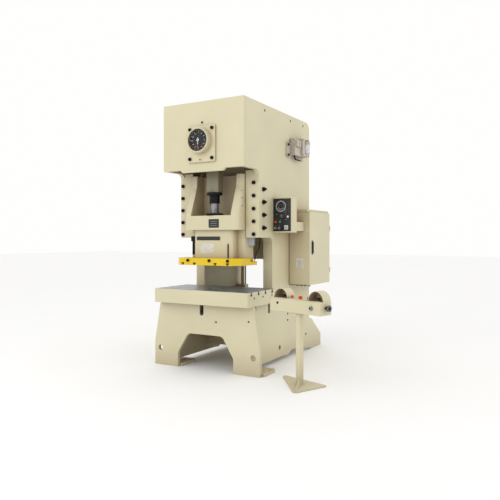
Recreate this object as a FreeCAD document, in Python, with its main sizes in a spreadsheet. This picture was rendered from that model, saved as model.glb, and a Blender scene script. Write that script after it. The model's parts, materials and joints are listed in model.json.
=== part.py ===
"""Gap-frame mechanical stamping press with its two-hand control stand, as a parametric FreeCAD document.

Frame of the part, in millimetres: +Z up, the operator stands at -Y, +X is the operator's right.  The
origin is on the floor at the centre of the four anchor holes.  Depths are mostly counted from the cheek
plane, the front face of the two cheeks that carry the slide's guides.  The slide is at the bottom of its
stroke.
"""
import FreeCAD, Part

import math
import os
import re

import Sketcher
from FreeCAD import Rotation, Vector

doc = FreeCAD.newDocument("StampingPress")
sheet = doc.addObject("Spreadsheet::Sheet", "Sizes")

# Driving dimensions: alias, value, meaning
SIZES = [
    ("frame_width", 1000, "over the two side plates"),
    ("frame_height", 2800, "floor to crown top"),
    ("side_plate", 45, "thickness of a side plate"),
    ("anchor_span_x", 800, "anchor holes, side to side"),
    ("anchor_span_y", 1700, "anchor holes, front to rear"),
    ("anchor_hole", 21, "radius of an anchor hole"),
    ("cheek_setback", 90, "front anchor holes to cheek plane"),
    ("crown_reach", 314, "crown front ahead of the cheek plane"),
    ("crown_bottom", 2095, "height of the crown's underside"),
    ("crown_plate", 32, "thickness of the crown's front plate"),
    ("crown_fillet", 60, "fillet under the crown's overhang"),
    ("lip_drop", 27, "lip below the crown front"),
    ("lip_half", 252, "half width of the lip"),
    ("cover_plate", 20, "thickness of the bent crown cover"),
    ("cover_bottom", 1110, "lower edge of the rear cover"),
    ("rear_reach", 1305, "rear face behind the cheek plane"),
    ("rear_corner", 90, "radius of the top rear corner"),
    ("cheek_inner", 340, "cheek's inner face from the centre"),
    ("cheek_plate", 50, "thickness of a cheek"),
    ("throat_depth", 304, "throat back behind the cheek plane"),
    ("throat_top", 1385, "height of the throat's upper edge"),
    ("throat_corner", 55, "throat's corner radius"),
    ("throat_flange", 112, "width of the throat lining, plate edge included"),
    ("lining_plate", 36, "thickness of the throat lining"),
    ("bed_top", 693, "height of the bed under the bolster"),
    ("bed_reach", 266, "bed front ahead of the cheek plane"),
    ("bed_plate", 40, "thickness of the bed's front plate"),
    ("bed_deck", 60, "thickness of the bed's top plate"),
    ("bed_half_top", 580, "half width of the bed front at its top"),
    ("bed_half_foot", 655, "half width of the bed front at its feet"),
    ("knee_height", 262, "where the bed front starts to narrow"),
    ("arch_half_foot", 347, "half width of the arch at the floor"),
    ("arch_half_top", 215, "half width of the arch near its crown"),
    ("arch_spring", 152, "height where the arch starts to narrow"),
    ("arch_height", 370, "height of the arch"),
    ("bolster_width", 1150, "bolster, side to side"),
    ("bolster_depth", 600, "bolster, front to rear"),
    ("bolster_thick", 147, "thickness of the bolster"),
    ("bolster_reach", 370, "bolster front ahead of the cheek plane"),
    ("bolster_hole", 75, "radius of the bolster's centre hole"),
    ("tee_pitch", 150, "distance between T-slots"),
    ("tee_neck", 22, "width of a T-slot's neck"),
    ("tee_head", 38, "width of a T-slot's head"),
    ("pad_thick", 32, "thickness of a foot pad"),
    ("axis_reach", 75, "press axis ahead of the cheek plane"),
    ("crank_height", 2385, "height of the crankshaft"),
    ("crank_throw", 80, "eccentric's offset, half the stroke"),
    ("journal", 65, "radius of the main journals"),
    ("eccentric", 150, "radius of the eccentric"),
    ("strap_wall", 35, "wall of the eccentric strap"),
    ("strap_width", 140, "width of the eccentric strap"),
    ("hub_radius", 120, "radius of a main bearing hub"),
    ("running", 0.05, "radial clearance of a running fit"),
    ("guide_play", 0.3, "clearance of a slide way"),
    ("slide_half", 335, "half width of the slide"),
    ("slide_reach", 158, "slide front ahead of the cheek plane"),
    ("slide_back", 175, "slide back behind the cheek plane"),
    ("slide_face", 1095, "height of the slide's working face"),
    ("slide_plate_thick", 74, "thickness of the slide plate"),
    ("slide_plate_thin", 35, "thickness of the slide plate between the cheeks"),
    ("slide_plate_half", 400, "half width of the slide plate"),
    ("slide_plate_reach", 270, "slide plate front ahead of the cheek plane"),
    ("slide_plate_chamfer", 85, "front corners of the slide plate"),
    ("slide_waist", 1467, "underside of the slide's upper block"),
    ("slide_well", 1620, "floor of the slide's well"),
    ("slide_top", 2060, "top of the slide"),
    ("waist_half", 243, "half width of the lower block"),
    ("waist_reach", 118, "lower block front ahead of the cheek plane"),
    ("well_half", 252, "half width of the slide's well"),
    ("shank_hole", 25, "radius of the die shank hole"),
    ("shank_relief", 4, "depth of the wider end of the shank hole under the knock-out slot"),
    ("rail_bottom", 1300, "lower end of the slide's guide rail"),
    ("wing_knee", 1935, "height where a wing's front edge turns upright"),
    ("wing_foot", 60, "wing's root below the floor of the well"),
    ("wing_rise", 20, "upright front of a wing above the floor of the well"),
    ("wing_slope_end", 45, "wing's front edge ahead of the cheek plane at its knee"),
    ("wing_lean", 38, "wing's front edge ahead of the cheek plane at its top"),
    ("knockout_bottom", 1345, "floor of the knock-out slot"),
    ("knockout_slot", 97, "height of the knock-out slot"),
    ("knockout_half", 22, "half width of the knock-out slot"),
    ("knockout_bar", 55, "height of the knock-out bar"),
    ("hanger_bottom", 1200, "lower end of the knock-out bar's rod"),
    ("rail_height", 50, "height of the slide's guide rail"),
    ("rail_depth", 120, "depth of the rail at its root"),
    ("rail_tip", 20, "flat at the rail's tip"),
    ("gib_bottom", 1400, "lower end of the gibs"),
    ("gib_length", 680, "length of the gibs"),
    ("rod_width", 150, "connecting rod shank, side to side"),
    ("rod_depth", 100, "connecting rod shank, front to rear"),
    ("rod_bottom", 1867, "lower end of the connecting rod shank"),
    ("rod_gap", 23, "opening between shank and strap"),
    ("screw_radius", 49, "radius of the adjusting screw"),
    ("ball_radius", 65, "radius of the screw's ball"),
    ("ball_height", 1541, "height of the ball's centre"),
    ("screw_top", 1990, "upper end of the adjusting screw"),
    ("nut_radius", 56, "radius of the lock nut"),
    ("nut_bottom", 1750, "lower end of the lock nut"),
    ("collar_radius", 86, "radius of the nut's collar"),
    ("collar_thick", 27, "thickness of the nut's collar"),
    ("gear_teeth", 82, "teeth of the main gear"),
    ("pinion_teeth", 15, "teeth of the pinion"),
    ("gear_module", 9, "tooth module"),
    ("gear_width", 100, "face width of the main gear"),
    ("gear_front", 330, "gear face behind the cheek plane"),
    ("pinion_journal", 40, "radius of the pinion shaft"),
    ("pinion_hub", 80, "radius of a pinion bearing hub"),
    ("wall_plate", 32, "thickness of the inner bearing walls"),
    ("back_plate_at", 200, "guide back plate behind the cheek plane"),
    ("bearing_wall_at", 520, "rear bearing wall behind the cheek plane"),
    ("bearing_wall_bottom", 1700, "lower edge of the rear bearing wall"),
    ("flywheel_radius", 400, "radius of the flywheel"),
    ("flywheel_width", 140, "width of the flywheel"),
    ("flywheel_at", 640, "flywheel front behind the cheek plane"),
    ("pulley_radius", 80, "radius of the motor pulley"),
    ("belt_thick", 10, "thickness of a drive belt"),
    ("motor_height", 2560, "height of the motor shaft"),
    ("motor_radius", 150, "radius of the motor body"),
    ("motor_shaft", 21, "radius of the motor's shaft"),
    ("motor_at", 860, "motor front behind the cheek plane"),
    ("motor_length", 360, "length of the motor body"),
    ("cylinder_half", 290, "counterbalance cylinders from the centre"),
    ("cylinder_at", 100, "counterbalance axis behind the cheek plane"),
    ("cylinder_radius", 55, "outer radius of a counterbalance cylinder"),
    ("cylinder_bottom", 2330, "lower end of a counterbalance cylinder"),
    ("cylinder_length", 320, "length of a counterbalance cylinder"),
    ("cylinder_rod", 14, "radius of a counterbalance rod"),
    ("dial_radius", 110, "radius of the dial's window"),
    ("dial_rim", 18, "wall of the dial housing"),
    ("dial_depth", 70, "depth of the dial housing"),
    ("dial_flange_x", 340, "dial flange, side to side"),
    ("dial_flange_z", 380, "dial flange, height"),
    ("dial_flange", 20, "thickness of the dial flange"),
    ("panel_at", 307, "control panel front behind the cheek plane"),
    ("panel_width", 236, "control panel box, side to side"),
    ("panel_depth", 118, "control panel box, front to rear"),
    ("panel_bottom", 1440, "lower edge of the control panel box"),
    ("panel_height", 382, "height of the control panel box"),
    ("panel_border", 14, "border round the black panel"),
    ("cabinet_width", 237, "electrical cabinet, side to side"),
    ("cabinet_at", 726, "cabinet front behind the cheek plane"),
    ("cabinet_depth", 614, "cabinet, front to rear"),
    ("cabinet_bottom", 843, "lower edge of the cabinet"),
    ("cabinet_height", 865, "height of the cabinet"),
    ("cabinet_wall", 3, "sheet thickness of the cabinet"),
    ("cabinet_cap", 25, "height of the cabinet's cap"),
    ("door_thick", 22, "thickness of the cabinet's door"),
    ("valve_at", 640, "valve bracket's front edge behind the cheek plane"),
    ("valve_length", 460, "valve bracket, front to rear"),
    ("valve_bottom", 2310, "lower edge of the valve bracket"),
    ("valve_height", 170, "height of the valve bracket"),
    ("conduit_top", 1500, "upper end of the conduits in the open back"),
    ("stand_x", 1105, "control stand from the centre"),
    ("stand_reach", 312, "control stand ahead of the cheek plane"),
    ("stand_turn", -19, "turn of the control stand, degrees"),
    ("column_half", 27, "half width of the stand's column"),
    ("console_length", 640, "length of the console"),
    ("console_depth", 150, "depth of the console"),
    ("console_bottom", 683, "underside of the console"),
    ("console_height", 122, "height of the console"),
    ("guard_radius", 92, "outer radius of a button guard"),
    ("guard_inset", 4, "guard's side from the console's end"),
    ("guard_wall", 5, "thickness of a button guard"),
    ("palm_radius", 27, "radius of a palm button"),
]

# Dimensions that follow from the driving ones
DERIVED = {
    "half_frame": "frame_width / 2",
    "plate_inner": "frame_width / 2 - side_plate",
    "cheek_plane": "cheek_setback - anchor_span_y / 2",
    "crown_front": "cheek_plane - crown_reach",
    "crown_inner": "cheek_plane - crown_reach + crown_plate",
    "rear_plane": "cheek_plane + rear_reach",
    "bed_front": "cheek_plane - bed_reach",
    "bed_inner": "cheek_plane - bed_reach + bed_plate",
    "bolster_top": "bed_top + bolster_thick",
    "bolster_front": "cheek_plane - bolster_reach",
    "press_axis": "cheek_plane - axis_reach",
    "eccentric_height": "crank_height - crank_throw",
    "strap_radius": "eccentric + strap_wall",
    "rod_top": "eccentric_height - strap_radius - rod_gap",
    "slide_front": "cheek_plane - slide_reach",
    "slide_rear": "cheek_plane + slide_back",
    "plate_top": "slide_face + slide_plate_thick",
    "rail_middle": "cheek_plane + slide_back - rail_depth / 2",
    "gear_pitch": "gear_module * gear_teeth / 2",
    "pinion_pitch": "gear_module * pinion_teeth / 2",
    "pinion_height": "crank_height - gear_pitch - pinion_pitch",
    "dial_back": "cheek_plane - crown_reach - dial_flange",
    "dial_front": "cheek_plane - crown_reach - dial_flange - dial_depth",
    "cabinet_front": "cheek_plane + cabinet_at",
    "cabinet_top": "cabinet_bottom + cabinet_height",
    "cabinet_side": "frame_width / 2 + cabinet_width",
    "panel_front": "cheek_plane + panel_at",
    "panel_centre_x": "frame_width / 2 + panel_width / 2",
    "console_top": "console_bottom + console_height",
}

for row, (alias, value, meaning) in enumerate(SIZES, start=1):
    sheet.set(f"A{row}", alias)
    sheet.set(f"B{row}", str(value))
    sheet.set(f"C{row}", meaning)
    sheet.setAlias(f"B{row}", alias)
doc.recompute()

ALIASES = {alias for alias, value, meaning in SIZES}
WORD = re.compile(r"[a-z_]+")


def formula(text):
    """The FreeCAD expression for a formula written with the names of SIZES and DERIVED."""
    def spell(match):
        word = match.group(0)
        if word in ALIASES:
            return f"Sizes.{word}"
        if word in DERIVED:
            return f"({formula(DERIVED[word])})"
        return word
    return WORD.sub(spell, str(text))


def amount(text):
    """The present value of a formula."""
    return float(sheet.evalExpression(formula(text)))


def bind(item, **properties):
    """Bind properties to formulas."""
    for name, text in properties.items():
        item.setExpression(name, formula(text))
    return item


def put(item, x="0", y="0", z="0"):
    """Bind the place of an object."""
    for axis, text in zip("xyz", (x, y, z)):
        item.setExpression(f"Placement.Base.{axis}", formula(text))
    return item


def shared(kind, name):
    item = doc.addObject(kind, name)
    item.Label = name
    return item


# ---------------------------------------------------------------- building blocks

TURNS = {
    "X": Rotation(Vector(0, 1, 0), 90),
    "Y": Rotation(Vector(1, 0, 0), -90),
    "Z": Rotation(),
}


def box(name, x, y, z):
    """A block between two corners: x, y and z are (low, high)."""
    item = shared("Part::Box", name)
    bind(item, Length=f"({x[1]}) - ({x[0]})", Width=f"({y[1]}) - ({y[0]})", Height=f"({z[1]}) - ({z[0]})")
    return put(item, x[0], y[0], z[0])


def along(axis, centre, start):
    """The base point of a shape along an axis, centred on the other two coordinates."""
    first, second = centre
    return {"X": (start, first, second), "Y": (first, start, second), "Z": (first, second, start)}[axis]


def rod(name, axis, centre, span, radius):
    """A cylinder along an axis; centre holds the two other coordinates in X, Y, Z order."""
    item = shared("Part::Cylinder", name)
    item.Placement.Rotation = TURNS[axis]
    bind(item, Radius=radius, Height=f"({span[1]}) - ({span[0]})")
    return put(item, *along(axis, centre, span[0]))


def hexagon(name, axis, centre, span, radius):
    """A hexagonal prism along an axis; radius is over the corners."""
    item = shared("Part::Prism", name)
    item.Polygon = 6
    item.Placement.Rotation = TURNS[axis]
    bind(item, Circumradius=radius, Height=f"({span[1]}) - ({span[0]})")
    return put(item, *along(axis, centre, span[0]))


def ball(name, x, y, z, radius):
    item = shared("Part::Sphere", name)
    bind(item, Radius=radius)
    return put(item, x, y, z)


def cut(name, base, *tools):
    """The base without the tools."""
    tool = tools[0] if len(tools) == 1 else join(name + "_tools", *tools)
    item = shared("Part::Cut", name)
    item.Base = base
    item.Tool = tool
    item.Refine = True
    return item


def join(name, *items):
    """One solid from several."""
    item = shared("Part::MultiFuse", name)
    item.Shapes = list(items)
    item.Refine = True
    return item


def group(name, *items):
    """Separate solids that are kept as one sub-part."""
    item = shared("Part::Compound", name)
    item.Links = list(items)
    return item


def flip(name, source):
    """The mirror image across the centre plane x = 0."""
    item = shared("Part::Mirroring", name)
    item.Source = source
    item.Normal = Vector(1, 0, 0)
    return item


def rounded(name, base, radius, picks):
    """The base with its straight edges rounded where they pass through the picked places.

    A pick is (x, y, z) with formulas, or None for a coordinate that may be anything.
    """
    doc.recompute()
    spots = [[None if text is None else amount(text) for text in pick] for pick in picks]
    edges = []
    for number, edge in enumerate(base.Shape.Edges, start=1):
        ends = [vertex.Point for vertex in edge.Vertexes]
        if any(all(value is None or all(abs(end[i] - value) < 0.01 for end in ends)
                   for i, value in enumerate(spot)) for spot in spots):
            edges.append((number, radius, radius))
    item = shared("Part::Fillet", name)
    item.Base = base
    item.Edges = edges
    return item


PLANES = {
    # plane: (turn of the sketch, direction of extrusion, axis that the sketch is moved along)
    "XY": (Rotation(), Vector(0, 0, 1), "z"),
    "XZ": (Rotation(Vector(1, 0, 0), 90), Vector(0, 1, 0), "y"),
    "YZ": (Rotation(Vector(1, 1, 1), 120), Vector(1, 0, 0), "x"),
}


def outline(name, plane, corners, holes=(), start="0"):
    """A constrained sketch: corners are (u, v) or (u, v, radius), holes are (u, v, radius)."""
    sketch = shared("Sketcher::SketchObject", name)
    turn, direction, axis = PLANES[plane]
    sketch.Placement.Rotation = turn
    sketch.setExpression(f"Placement.Base.{axis}", formula(start))

    def pin(geometry, point, label, u, v):
        """Bind a point's two coordinates."""
        for kind, coordinate, text in (("DistanceX", "u", u), ("DistanceY", "v", v)):
            place = amount(text)
            added = sketch.addConstraint(Sketcher.Constraint(kind, -1, 1, geometry, point, place))
            sketch.renameConstraint(added, f"{coordinate}_{label}")
            sketch.setExpression(f"Constraints.{coordinate}_{label}", formula(text))

    def size_of_radius(geometry, label, text):
        added = sketch.addConstraint(Sketcher.Constraint("Radius", geometry, amount(text)))
        sketch.renameConstraint(added, f"r_{label}")
        sketch.setExpression(f"Constraints.r_{label}", formula(text))

    spots = [Vector(amount(corner[0]), amount(corner[1]), 0) for corner in corners]
    count = len(corners)
    starts, ends = [], []
    for i, spot in enumerate(spots):
        if len(corners[i]) == 2:
            starts.append(spot)
            ends.append(spot)
            continue
        before = (spots[i - 1] - spot).normalize()
        after = (spots[(i + 1) % count] - spot).normalize()
        reach = amount(corners[i][2]) / math.tan(before.getAngle(after) / 2)
        starts.append(spot + before * reach)
        ends.append(spot + after * reach)
    lines = [sketch.addGeometry(Part.LineSegment(ends[i], starts[(i + 1) % count]), False)
             for i in range(count)]
    for i, spot in enumerate(spots):
        before, after = lines[i - 1], lines[i]
        if len(corners[i]) == 2:
            sketch.addConstraint(Sketcher.Constraint("Coincident", before, 2, after, 1))
            pin(after, 1, i, corners[i][0], corners[i][1])
            continue
        radius = amount(corners[i][2])
        inward = ((starts[i] - spot).normalize() + (ends[i] - spot).normalize()).normalize()
        centre = spot + inward * (radius / math.sin((starts[i] - spot).getAngle(inward)))
        angles = [math.atan2(point.y - centre.y, point.x - centre.x) for point in (starts[i], ends[i])]
        clockwise = math.sin(angles[1] - angles[0]) < 0
        low, high = reversed(angles) if clockwise else angles
        round_corner = Part.ArcOfCircle(Part.Circle(centre, Vector(0, 0, 1), radius), low,
                                        high + (2 * math.pi if high < low else 0))
        arc = sketch.addGeometry(round_corner, False)
        first = 2 if clockwise else 1
        sketch.addConstraint(Sketcher.Constraint("Tangent", before, 2, arc, first))
        sketch.addConstraint(Sketcher.Constraint("Tangent", after, 1, arc, 3 - first))
        size_of_radius(arc, i, corners[i][2])
        mark = sketch.addGeometry(Part.Point(spot), True)
        sketch.addConstraint(Sketcher.Constraint("PointOnObject", mark, 1, before))
        sketch.addConstraint(Sketcher.Constraint("PointOnObject", mark, 1, after))
        pin(mark, 1, i, corners[i][0], corners[i][1])
    for i, (u, v, radius) in enumerate(holes):
        place = Vector(amount(u), amount(v), 0)
        circle = sketch.addGeometry(Part.Circle(place, Vector(0, 0, 1), amount(radius)), False)
        size_of_radius(circle, f"hole_{i}", radius)
        pin(circle, 3, f"hole_{i}", u, v)
    return sketch


def plate(name, plane, span, corners, holes=()):
    """An outline made solid between two heights."""
    sketch = outline(name + "_outline", plane, corners, holes, span[0])
    item = shared("Part::Extrusion", name)
    item.Base = sketch
    item.DirMode = "Custom"
    item.Dir = PLANES[plane][1]
    item.Solid = True
    return bind(item, LengthFwd=f"({span[1]}) - ({span[0]})")


def turned(name, axis, centre, profile):
    """A solid of revolution about an axis; the profile is (distance along the axis, radius)."""
    plane = {"Y": "YZ", "Z": "XZ", "X": "XZ"}[axis]
    if axis == "Z":
        corners = [(radius, height) for height, radius in profile]
    else:
        corners = [(height, radius) for height, radius in profile]
    sketch = outline(name + "_profile", plane, corners)
    item = shared("Part::Revolution", name)
    item.Source = sketch
    item.Axis = {"X": Vector(1, 0, 0), "Y": Vector(0, 1, 0), "Z": Vector(0, 0, 1)}[axis]
    item.Angle = 360
    item.Solid = True
    return put(item, *along(axis, centre, "0"))


def modelled(name, shape):
    """A shape from Part's own functions, for outlines that no primitive gives."""
    item = shared("Part::Feature", name)
    item.Shape = shape
    return item


SIDES = (("left", -1), ("right", 1))


# ---------------------------------------------------------------- frame

def behind(distance):
    """A depth counted rearwards from the cheek plane."""
    return f"cheek_plane + ({distance})"


SIDE_PROFILE = [
    ("crown_inner", "frame_height"),
    ("crown_inner", "crown_bottom"),
    ("cheek_plane", "crown_bottom", "crown_fillet"),
    ("cheek_plane", "throat_top"),
    (behind("throat_depth"), "throat_top", "throat_corner"),
    (behind("throat_depth"), "bed_top", "throat_corner"),
    ("bed_inner", "bed_top"),
    ("bed_inner", "50"),
    (behind("600"), "50"),
    (behind("716"), "44"),
    (behind("800"), "80", "30"),
    (behind("924"), "80", "60"),
    (behind("1127"), "49"),
    (behind("1404"), "0"),
    ("rear_plane + 371", "0"),
    ("rear_plane + 371", "147"),
    ("rear_plane + 73", "378", "30"),
    ("rear_plane", "378"),
    ("rear_plane", "frame_height", "rear_corner"),
]
SIDE_HOLES = [
    (behind("487"), "159", "25"),
    (behind("1203"), "203", "12"),
    (behind("131"), "frame_height - 64", "15"),
    (behind("768"), "frame_height - 61", "15"),
    (behind("1117"), "frame_height - 60", "15"),
]
BOLSTER_BOLTS_AT = ("-85", "228")


def side_plate():
    """The right-hand C-shaped plate, with open pockets for the bolster's bolts."""
    blank = plate("side_blank", "YZ", ("plate_inner", "half_frame"), SIDE_PROFILE, SIDE_HOLES)
    pockets = []
    for number, depth in enumerate(BOLSTER_BOLTS_AT):
        span = ("plate_inner - 1", "half_frame + 1")
        seat = (behind(depth), "bed_top - 105")
        pockets.append(rod(f"pocket_end_{number}", "X", seat, span, "21"))
        pockets.append(box(f"pocket_{number}", span, (behind(f"{depth} - 21"), behind(f"{depth} + 21")),
                           ("bed_top - 105", "bed_top + 1")))
    return cut("right_side_plate", blank, *pockets)


def crown_front():
    """The crown's front plate, with the bearing's hole and a lip between the slide's wings."""
    half = "half_frame"
    lower = [(f"-{half}", "crown_bottom"), ("-lip_half - lip_drop", "crown_bottom"),
             ("-lip_half", "crown_bottom - lip_drop"), ("lip_half", "crown_bottom - lip_drop"),
             ("lip_half + lip_drop", "crown_bottom"), (half, "crown_bottom")]
    corners = [(half, "frame_height"), (f"-{half}", "frame_height")] + lower
    return plate("crown_front_plate", "XZ", ("crown_front", "crown_inner"), corners,
                 [("0", "crank_height", "hub_radius")])


def crown_cover():
    """One bent plate over the crown's top and down its back."""
    top, rear = "frame_height", "rear_plane"
    return plate("crown_cover", "YZ", ("-plate_inner", "plate_inner"), [
        ("crown_inner", top), (rear, top, "rear_corner"), (rear, "cover_bottom"),
        (f"{rear} - cover_plate", "cover_bottom"),
        (f"{rear} - cover_plate", f"{top} - cover_plate", "rear_corner - cover_plate"),
        ("crown_inner", f"{top} - cover_plate")])


def inner_wall(name, depth, bottom):
    """A wall between the side plates with the crank's and the pinion shaft's bearing holes."""
    top = "frame_height - cover_plate"
    return plate(name, "XZ", (behind(depth), behind(f"{depth} + wall_plate")), [
        ("-plate_inner", bottom), ("plate_inner", bottom), ("plate_inner", top), ("-plate_inner", top)],
        [("0", "crank_height", "hub_radius"), ("0", "pinion_height", "pinion_hub")])


def cheeks():
    right = box("cheek_right", ("cheek_inner", "plate_inner"), ("cheek_plane", behind("cheek_plate")),
                ("throat_top", "crown_bottom"))
    return group("cheeks", right, flip("cheek_left", right))


def gib(name, sign):
    """One half of a guide: sign -1 in front of the slide's rail, +1 behind it."""
    middle = "rail_middle"
    tip_x = "slide_half + rail_height + guide_play"
    tip_y = f"{middle} + {sign} * (rail_tip / 2 + guide_play)"
    root_x = "cheek_inner + 1"
    root_y = f"{tip_y} + {sign} * ({tip_x} - ({root_x}))"
    outer_y = behind("cheek_plate") if sign < 0 else behind("back_plate_at")
    return plate(name, "XY", ("gib_bottom", "gib_bottom + gib_length"), [
        (root_x, outer_y), (root_x, root_y), (tip_x, tip_y), (tip_x, f"{middle} + {sign} * 0.1"),
        ("plate_inner", f"{middle} + {sign} * 0.1"), ("plate_inner", outer_y)])


def gibs():
    pair = [gib("gib_front", -1), gib("gib_rear", 1)]
    return group("gibs", *pair, *[flip(half.Name + "_left", half) for half in pair])


def lining():
    """The band that lines the throat's top corner, back and bottom corner inside a side plate."""
    back = behind("throat_depth")
    lined = plate("lining_right", "YZ", ("half_frame - throat_flange", "plate_inner"), [
        (behind("back_plate_at + wall_plate"), "throat_top"), (back, "throat_top", "throat_corner"),
        (back, "bed_top"), (f"{back} + lining_plate", "bed_top"),
        (f"{back} + lining_plate", "throat_top + lining_plate", "throat_corner + lining_plate"),
        (behind("back_plate_at + wall_plate"), "throat_top + lining_plate")])
    return group("throat_linings", lined, flip("lining_left", lined))


def bed_front():
    """The bed's front plate on its two splayed feet, with an arch between them."""
    right = [("arch_half_foot", "0"), ("bed_half_foot", "0"), ("bed_half_foot", "knee_height", "40"),
             ("bed_half_top", "bed_top")]
    arch = [("arch_half_foot", "arch_spring", "60"), ("arch_half_top", "arch_height", "70")]
    mirrored = [(f"-({u})", *rest) for u, *rest in right]
    corners = right + mirrored[::-1] + [(f"-({u})", *rest) for u, *rest in arch] + arch[::-1]
    holes = [("bed_half_foot - 76", "185", "30"), ("76 - bed_half_foot", "185", "30"),
             ("140", "bed_top - 181", "11"), ("bed_half_top - 53", "bed_top - 150", "11")]
    blank = plate("bed_front_blank", "XZ", ("bed_front", "bed_inner"), corners, holes)
    seat = ("-40", "bed_top - 100")
    pocket = rod("front_pocket_end", "Y", seat, ("bed_front - 1", "bed_inner + 1"), "24")
    neck = box("front_pocket", ("-64", "-16"), ("bed_front - 1", "bed_inner + 1"),
               ("bed_top - 100", "bed_top + 1"))
    return cut("bed_front_plate", blank, pocket, neck)


def bed_top():
    """The plate under the bolster, with a scrap hole, running back to the rear."""
    slab = box("bed_top_blank", ("-plate_inner", "plate_inner"), ("bed_inner", "rear_plane"),
               ("bed_top - bed_deck", "bed_top"))
    hole = rod("scrap_hole", "Z", ("0", "press_axis"), ("bed_top - bed_deck - 1", "bed_top + 1"),
               "bolster_hole + 20")
    return cut("bed_top_plate", slab, hole)


def cross_plates():
    """The bed's inner wall, the tie between the tails and the motor's shelf."""
    half = "plate_inner"
    under_bed = "bed_top - bed_deck"
    wall = plate("bed_wall", "XZ", (behind("470"), behind("500")), [
        (f"-{half}", "125"), ("-200", "125", "60"), ("-140", "165", "60"), ("140", "165", "60"),
        ("200", "125", "60"), (half, "125"), (half, under_bed), (f"-{half}", under_bed)])
    tie = box("rear_tie", (f"-{half}", half), ("rear_plane - 30", "rear_plane"), ("120", "360"))
    shelf = box("motor_shelf", (f"-{half}", half), (behind("motor_at - 20"), "rear_plane - cover_plate"),
                ("motor_height - motor_radius - 32", "motor_height - motor_radius - 12"))
    return group("cross_plates", wall, tie, shelf)


def pads():
    """Foot pads with the four anchor holes; the front ones stick out past the bed's feet."""
    made = []
    for name, y, outer, inner in (
            ("front_pad", ("bed_inner", "bed_inner + 270"), "bed_half_foot + 25", "arch_half_foot - 27"),
            ("rear_pad", (behind("1430"), "rear_plane + 371"), "plate_inner", "arch_half_foot - 37")):
        slab = box(name + "_slab", (inner, outer), y, ("0", "pad_thick"))
        soft = rounded(name + "_soft", slab, 40 if name == "front_pad" else 10, [
            (outer, y[0] if name == "rear_pad" else y[1], None), (inner, y[1], None)])
        row = "-anchor_span_y / 2" if name == "front_pad" else "anchor_span_y / 2"
        tools = [rod(name + "_hole", "Z", ("anchor_span_x / 2", row), ("-1", "pad_thick + 1"), "anchor_hole")]
        if name == "front_pad":
            tools.append(rod("jack_hole", "Z", ("bed_half_foot", "bed_inner + 180"),
                             ("-1", "pad_thick + 1"), "15"))
        pad = cut(name, soft, *tools)
        made += [pad, flip(name + "_left", pad)]
    return group("foot_pads", *made)


# ---------------------------------------------------------------- bolster and fasteners

def bolster():
    """The slab that carries the die, with T-slots from side to side and a scrap hole."""
    half = "bolster_width / 2"
    rear = "bolster_front + bolster_depth"
    slab = box("bolster_slab", (f"-{half}", half), ("bolster_front", rear), ("bed_top", "bolster_top"))
    ends = (f"-{half} - 1", f"{half} + 1")
    tools = [rod("bolster_bore", "Z", ("0", "press_axis"), ("bed_top - 1", "bolster_top + 1"),
                 "bolster_hole")]
    for number in (-1.5, -0.5, 0.5, 1.5):
        middle = f"bolster_front + bolster_depth / 2 + ({number}) * tee_pitch"
        tag = str(number).replace("-", "front_").replace(".", "_")
        tools.append(box(f"tee_neck_{tag}", ends, (f"{middle} - tee_neck / 2", f"{middle} + tee_neck / 2"),
                         ("bolster_top - 38", "bolster_top + 1")))
        tools.append(box(f"tee_head_{tag}", ends, (f"{middle} - tee_head / 2", f"{middle} + tee_head / 2"),
                         ("bolster_top - 38", "bolster_top - 22")))
    for number, depth in enumerate(("-235", "-50", "150")):
        tools.append(rod(f"side_tap_{number}", "X", (behind(depth), "bolster_top - 62"),
                         (f"{half} - 40", f"{half} + 1"), "11"))
    return cut("bolster", slab, *tools)


def cap_screw(name, axis, centre, seat, head, sign):
    """A socket head screw's head, standing on its seat towards sign, with its hexagon socket."""
    low, high = (seat, f"{seat} + 0.9 * ({head})") if sign > 0 else (f"{seat} - 0.9 * ({head})", seat)
    body = rod(name + "_head", axis, centre, (low, high), head)
    if sign > 0:
        socket = hexagon(name + "_socket", axis, centre, (f"{high} - 0.5 * ({head})", f"{high} + 1"),
                         f"0.55 * ({head})")
    else:
        socket = hexagon(name + "_socket", axis, centre, (f"{low} - 1", f"{low} + 0.5 * ({head})"),
                         f"0.55 * ({head})")
    return cut(name, body, socket)


GIB_SCREWS_UP = (36, 170, 304, 440, 577)
GIB_ADJUSTERS_UP = (103, 239, 375, 511)


def frame_screws():
    """The screws that hold the front gibs and the dial housing, and the gibs' adjusting screws."""
    made = adjusters()
    for number, up in enumerate(GIB_SCREWS_UP):
        for side, sign in SIDES:
            place = (f"{sign} * (cheek_inner + {130 if sign < 0 else 100})", f"throat_top + {up}")
            made.append(cap_screw(f"gib_screw_{side}_{number}", "Y", place, "cheek_plane", "19", -1))
    for column in (-1, 1):
        for line in (-1, 1):
            place = (f"{column} * (dial_flange_x / 2 - 33)",
                     f"crank_height - 29 + {line} * (dial_flange_z / 2 - 36)")
            made.append(cap_screw(f"dial_screw_{column + 1}{line + 1}", "Y", place, "dial_back", "17", -1))
    return group("frame_screws", *made)


def adjusters():
    """Gib adjusting screws with their lock nuts on the outer faces of the side plates."""
    made = []
    for side, sign in SIDES:
        for number, up in enumerate(GIB_ADJUSTERS_UP):
            tag = f"{side}_{number}"
            place = (behind("90"), f"throat_top + {up}")
            face = "half_frame"
            spans = [(face, f"{face} + 20"), (f"{face} + 20", f"{face} + 40")]
            if sign < 0:
                spans = [(f"-({high})", f"-({low})") for low, high in spans]
            nut = hexagon("gib_nut_" + tag, "X", place, spans[0], "24")
            stem = rod("gib_stem_" + tag, "X", place, spans[1], "13")
            made.append(join("gib_adjuster_" + tag, nut, stem))
    return made


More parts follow.
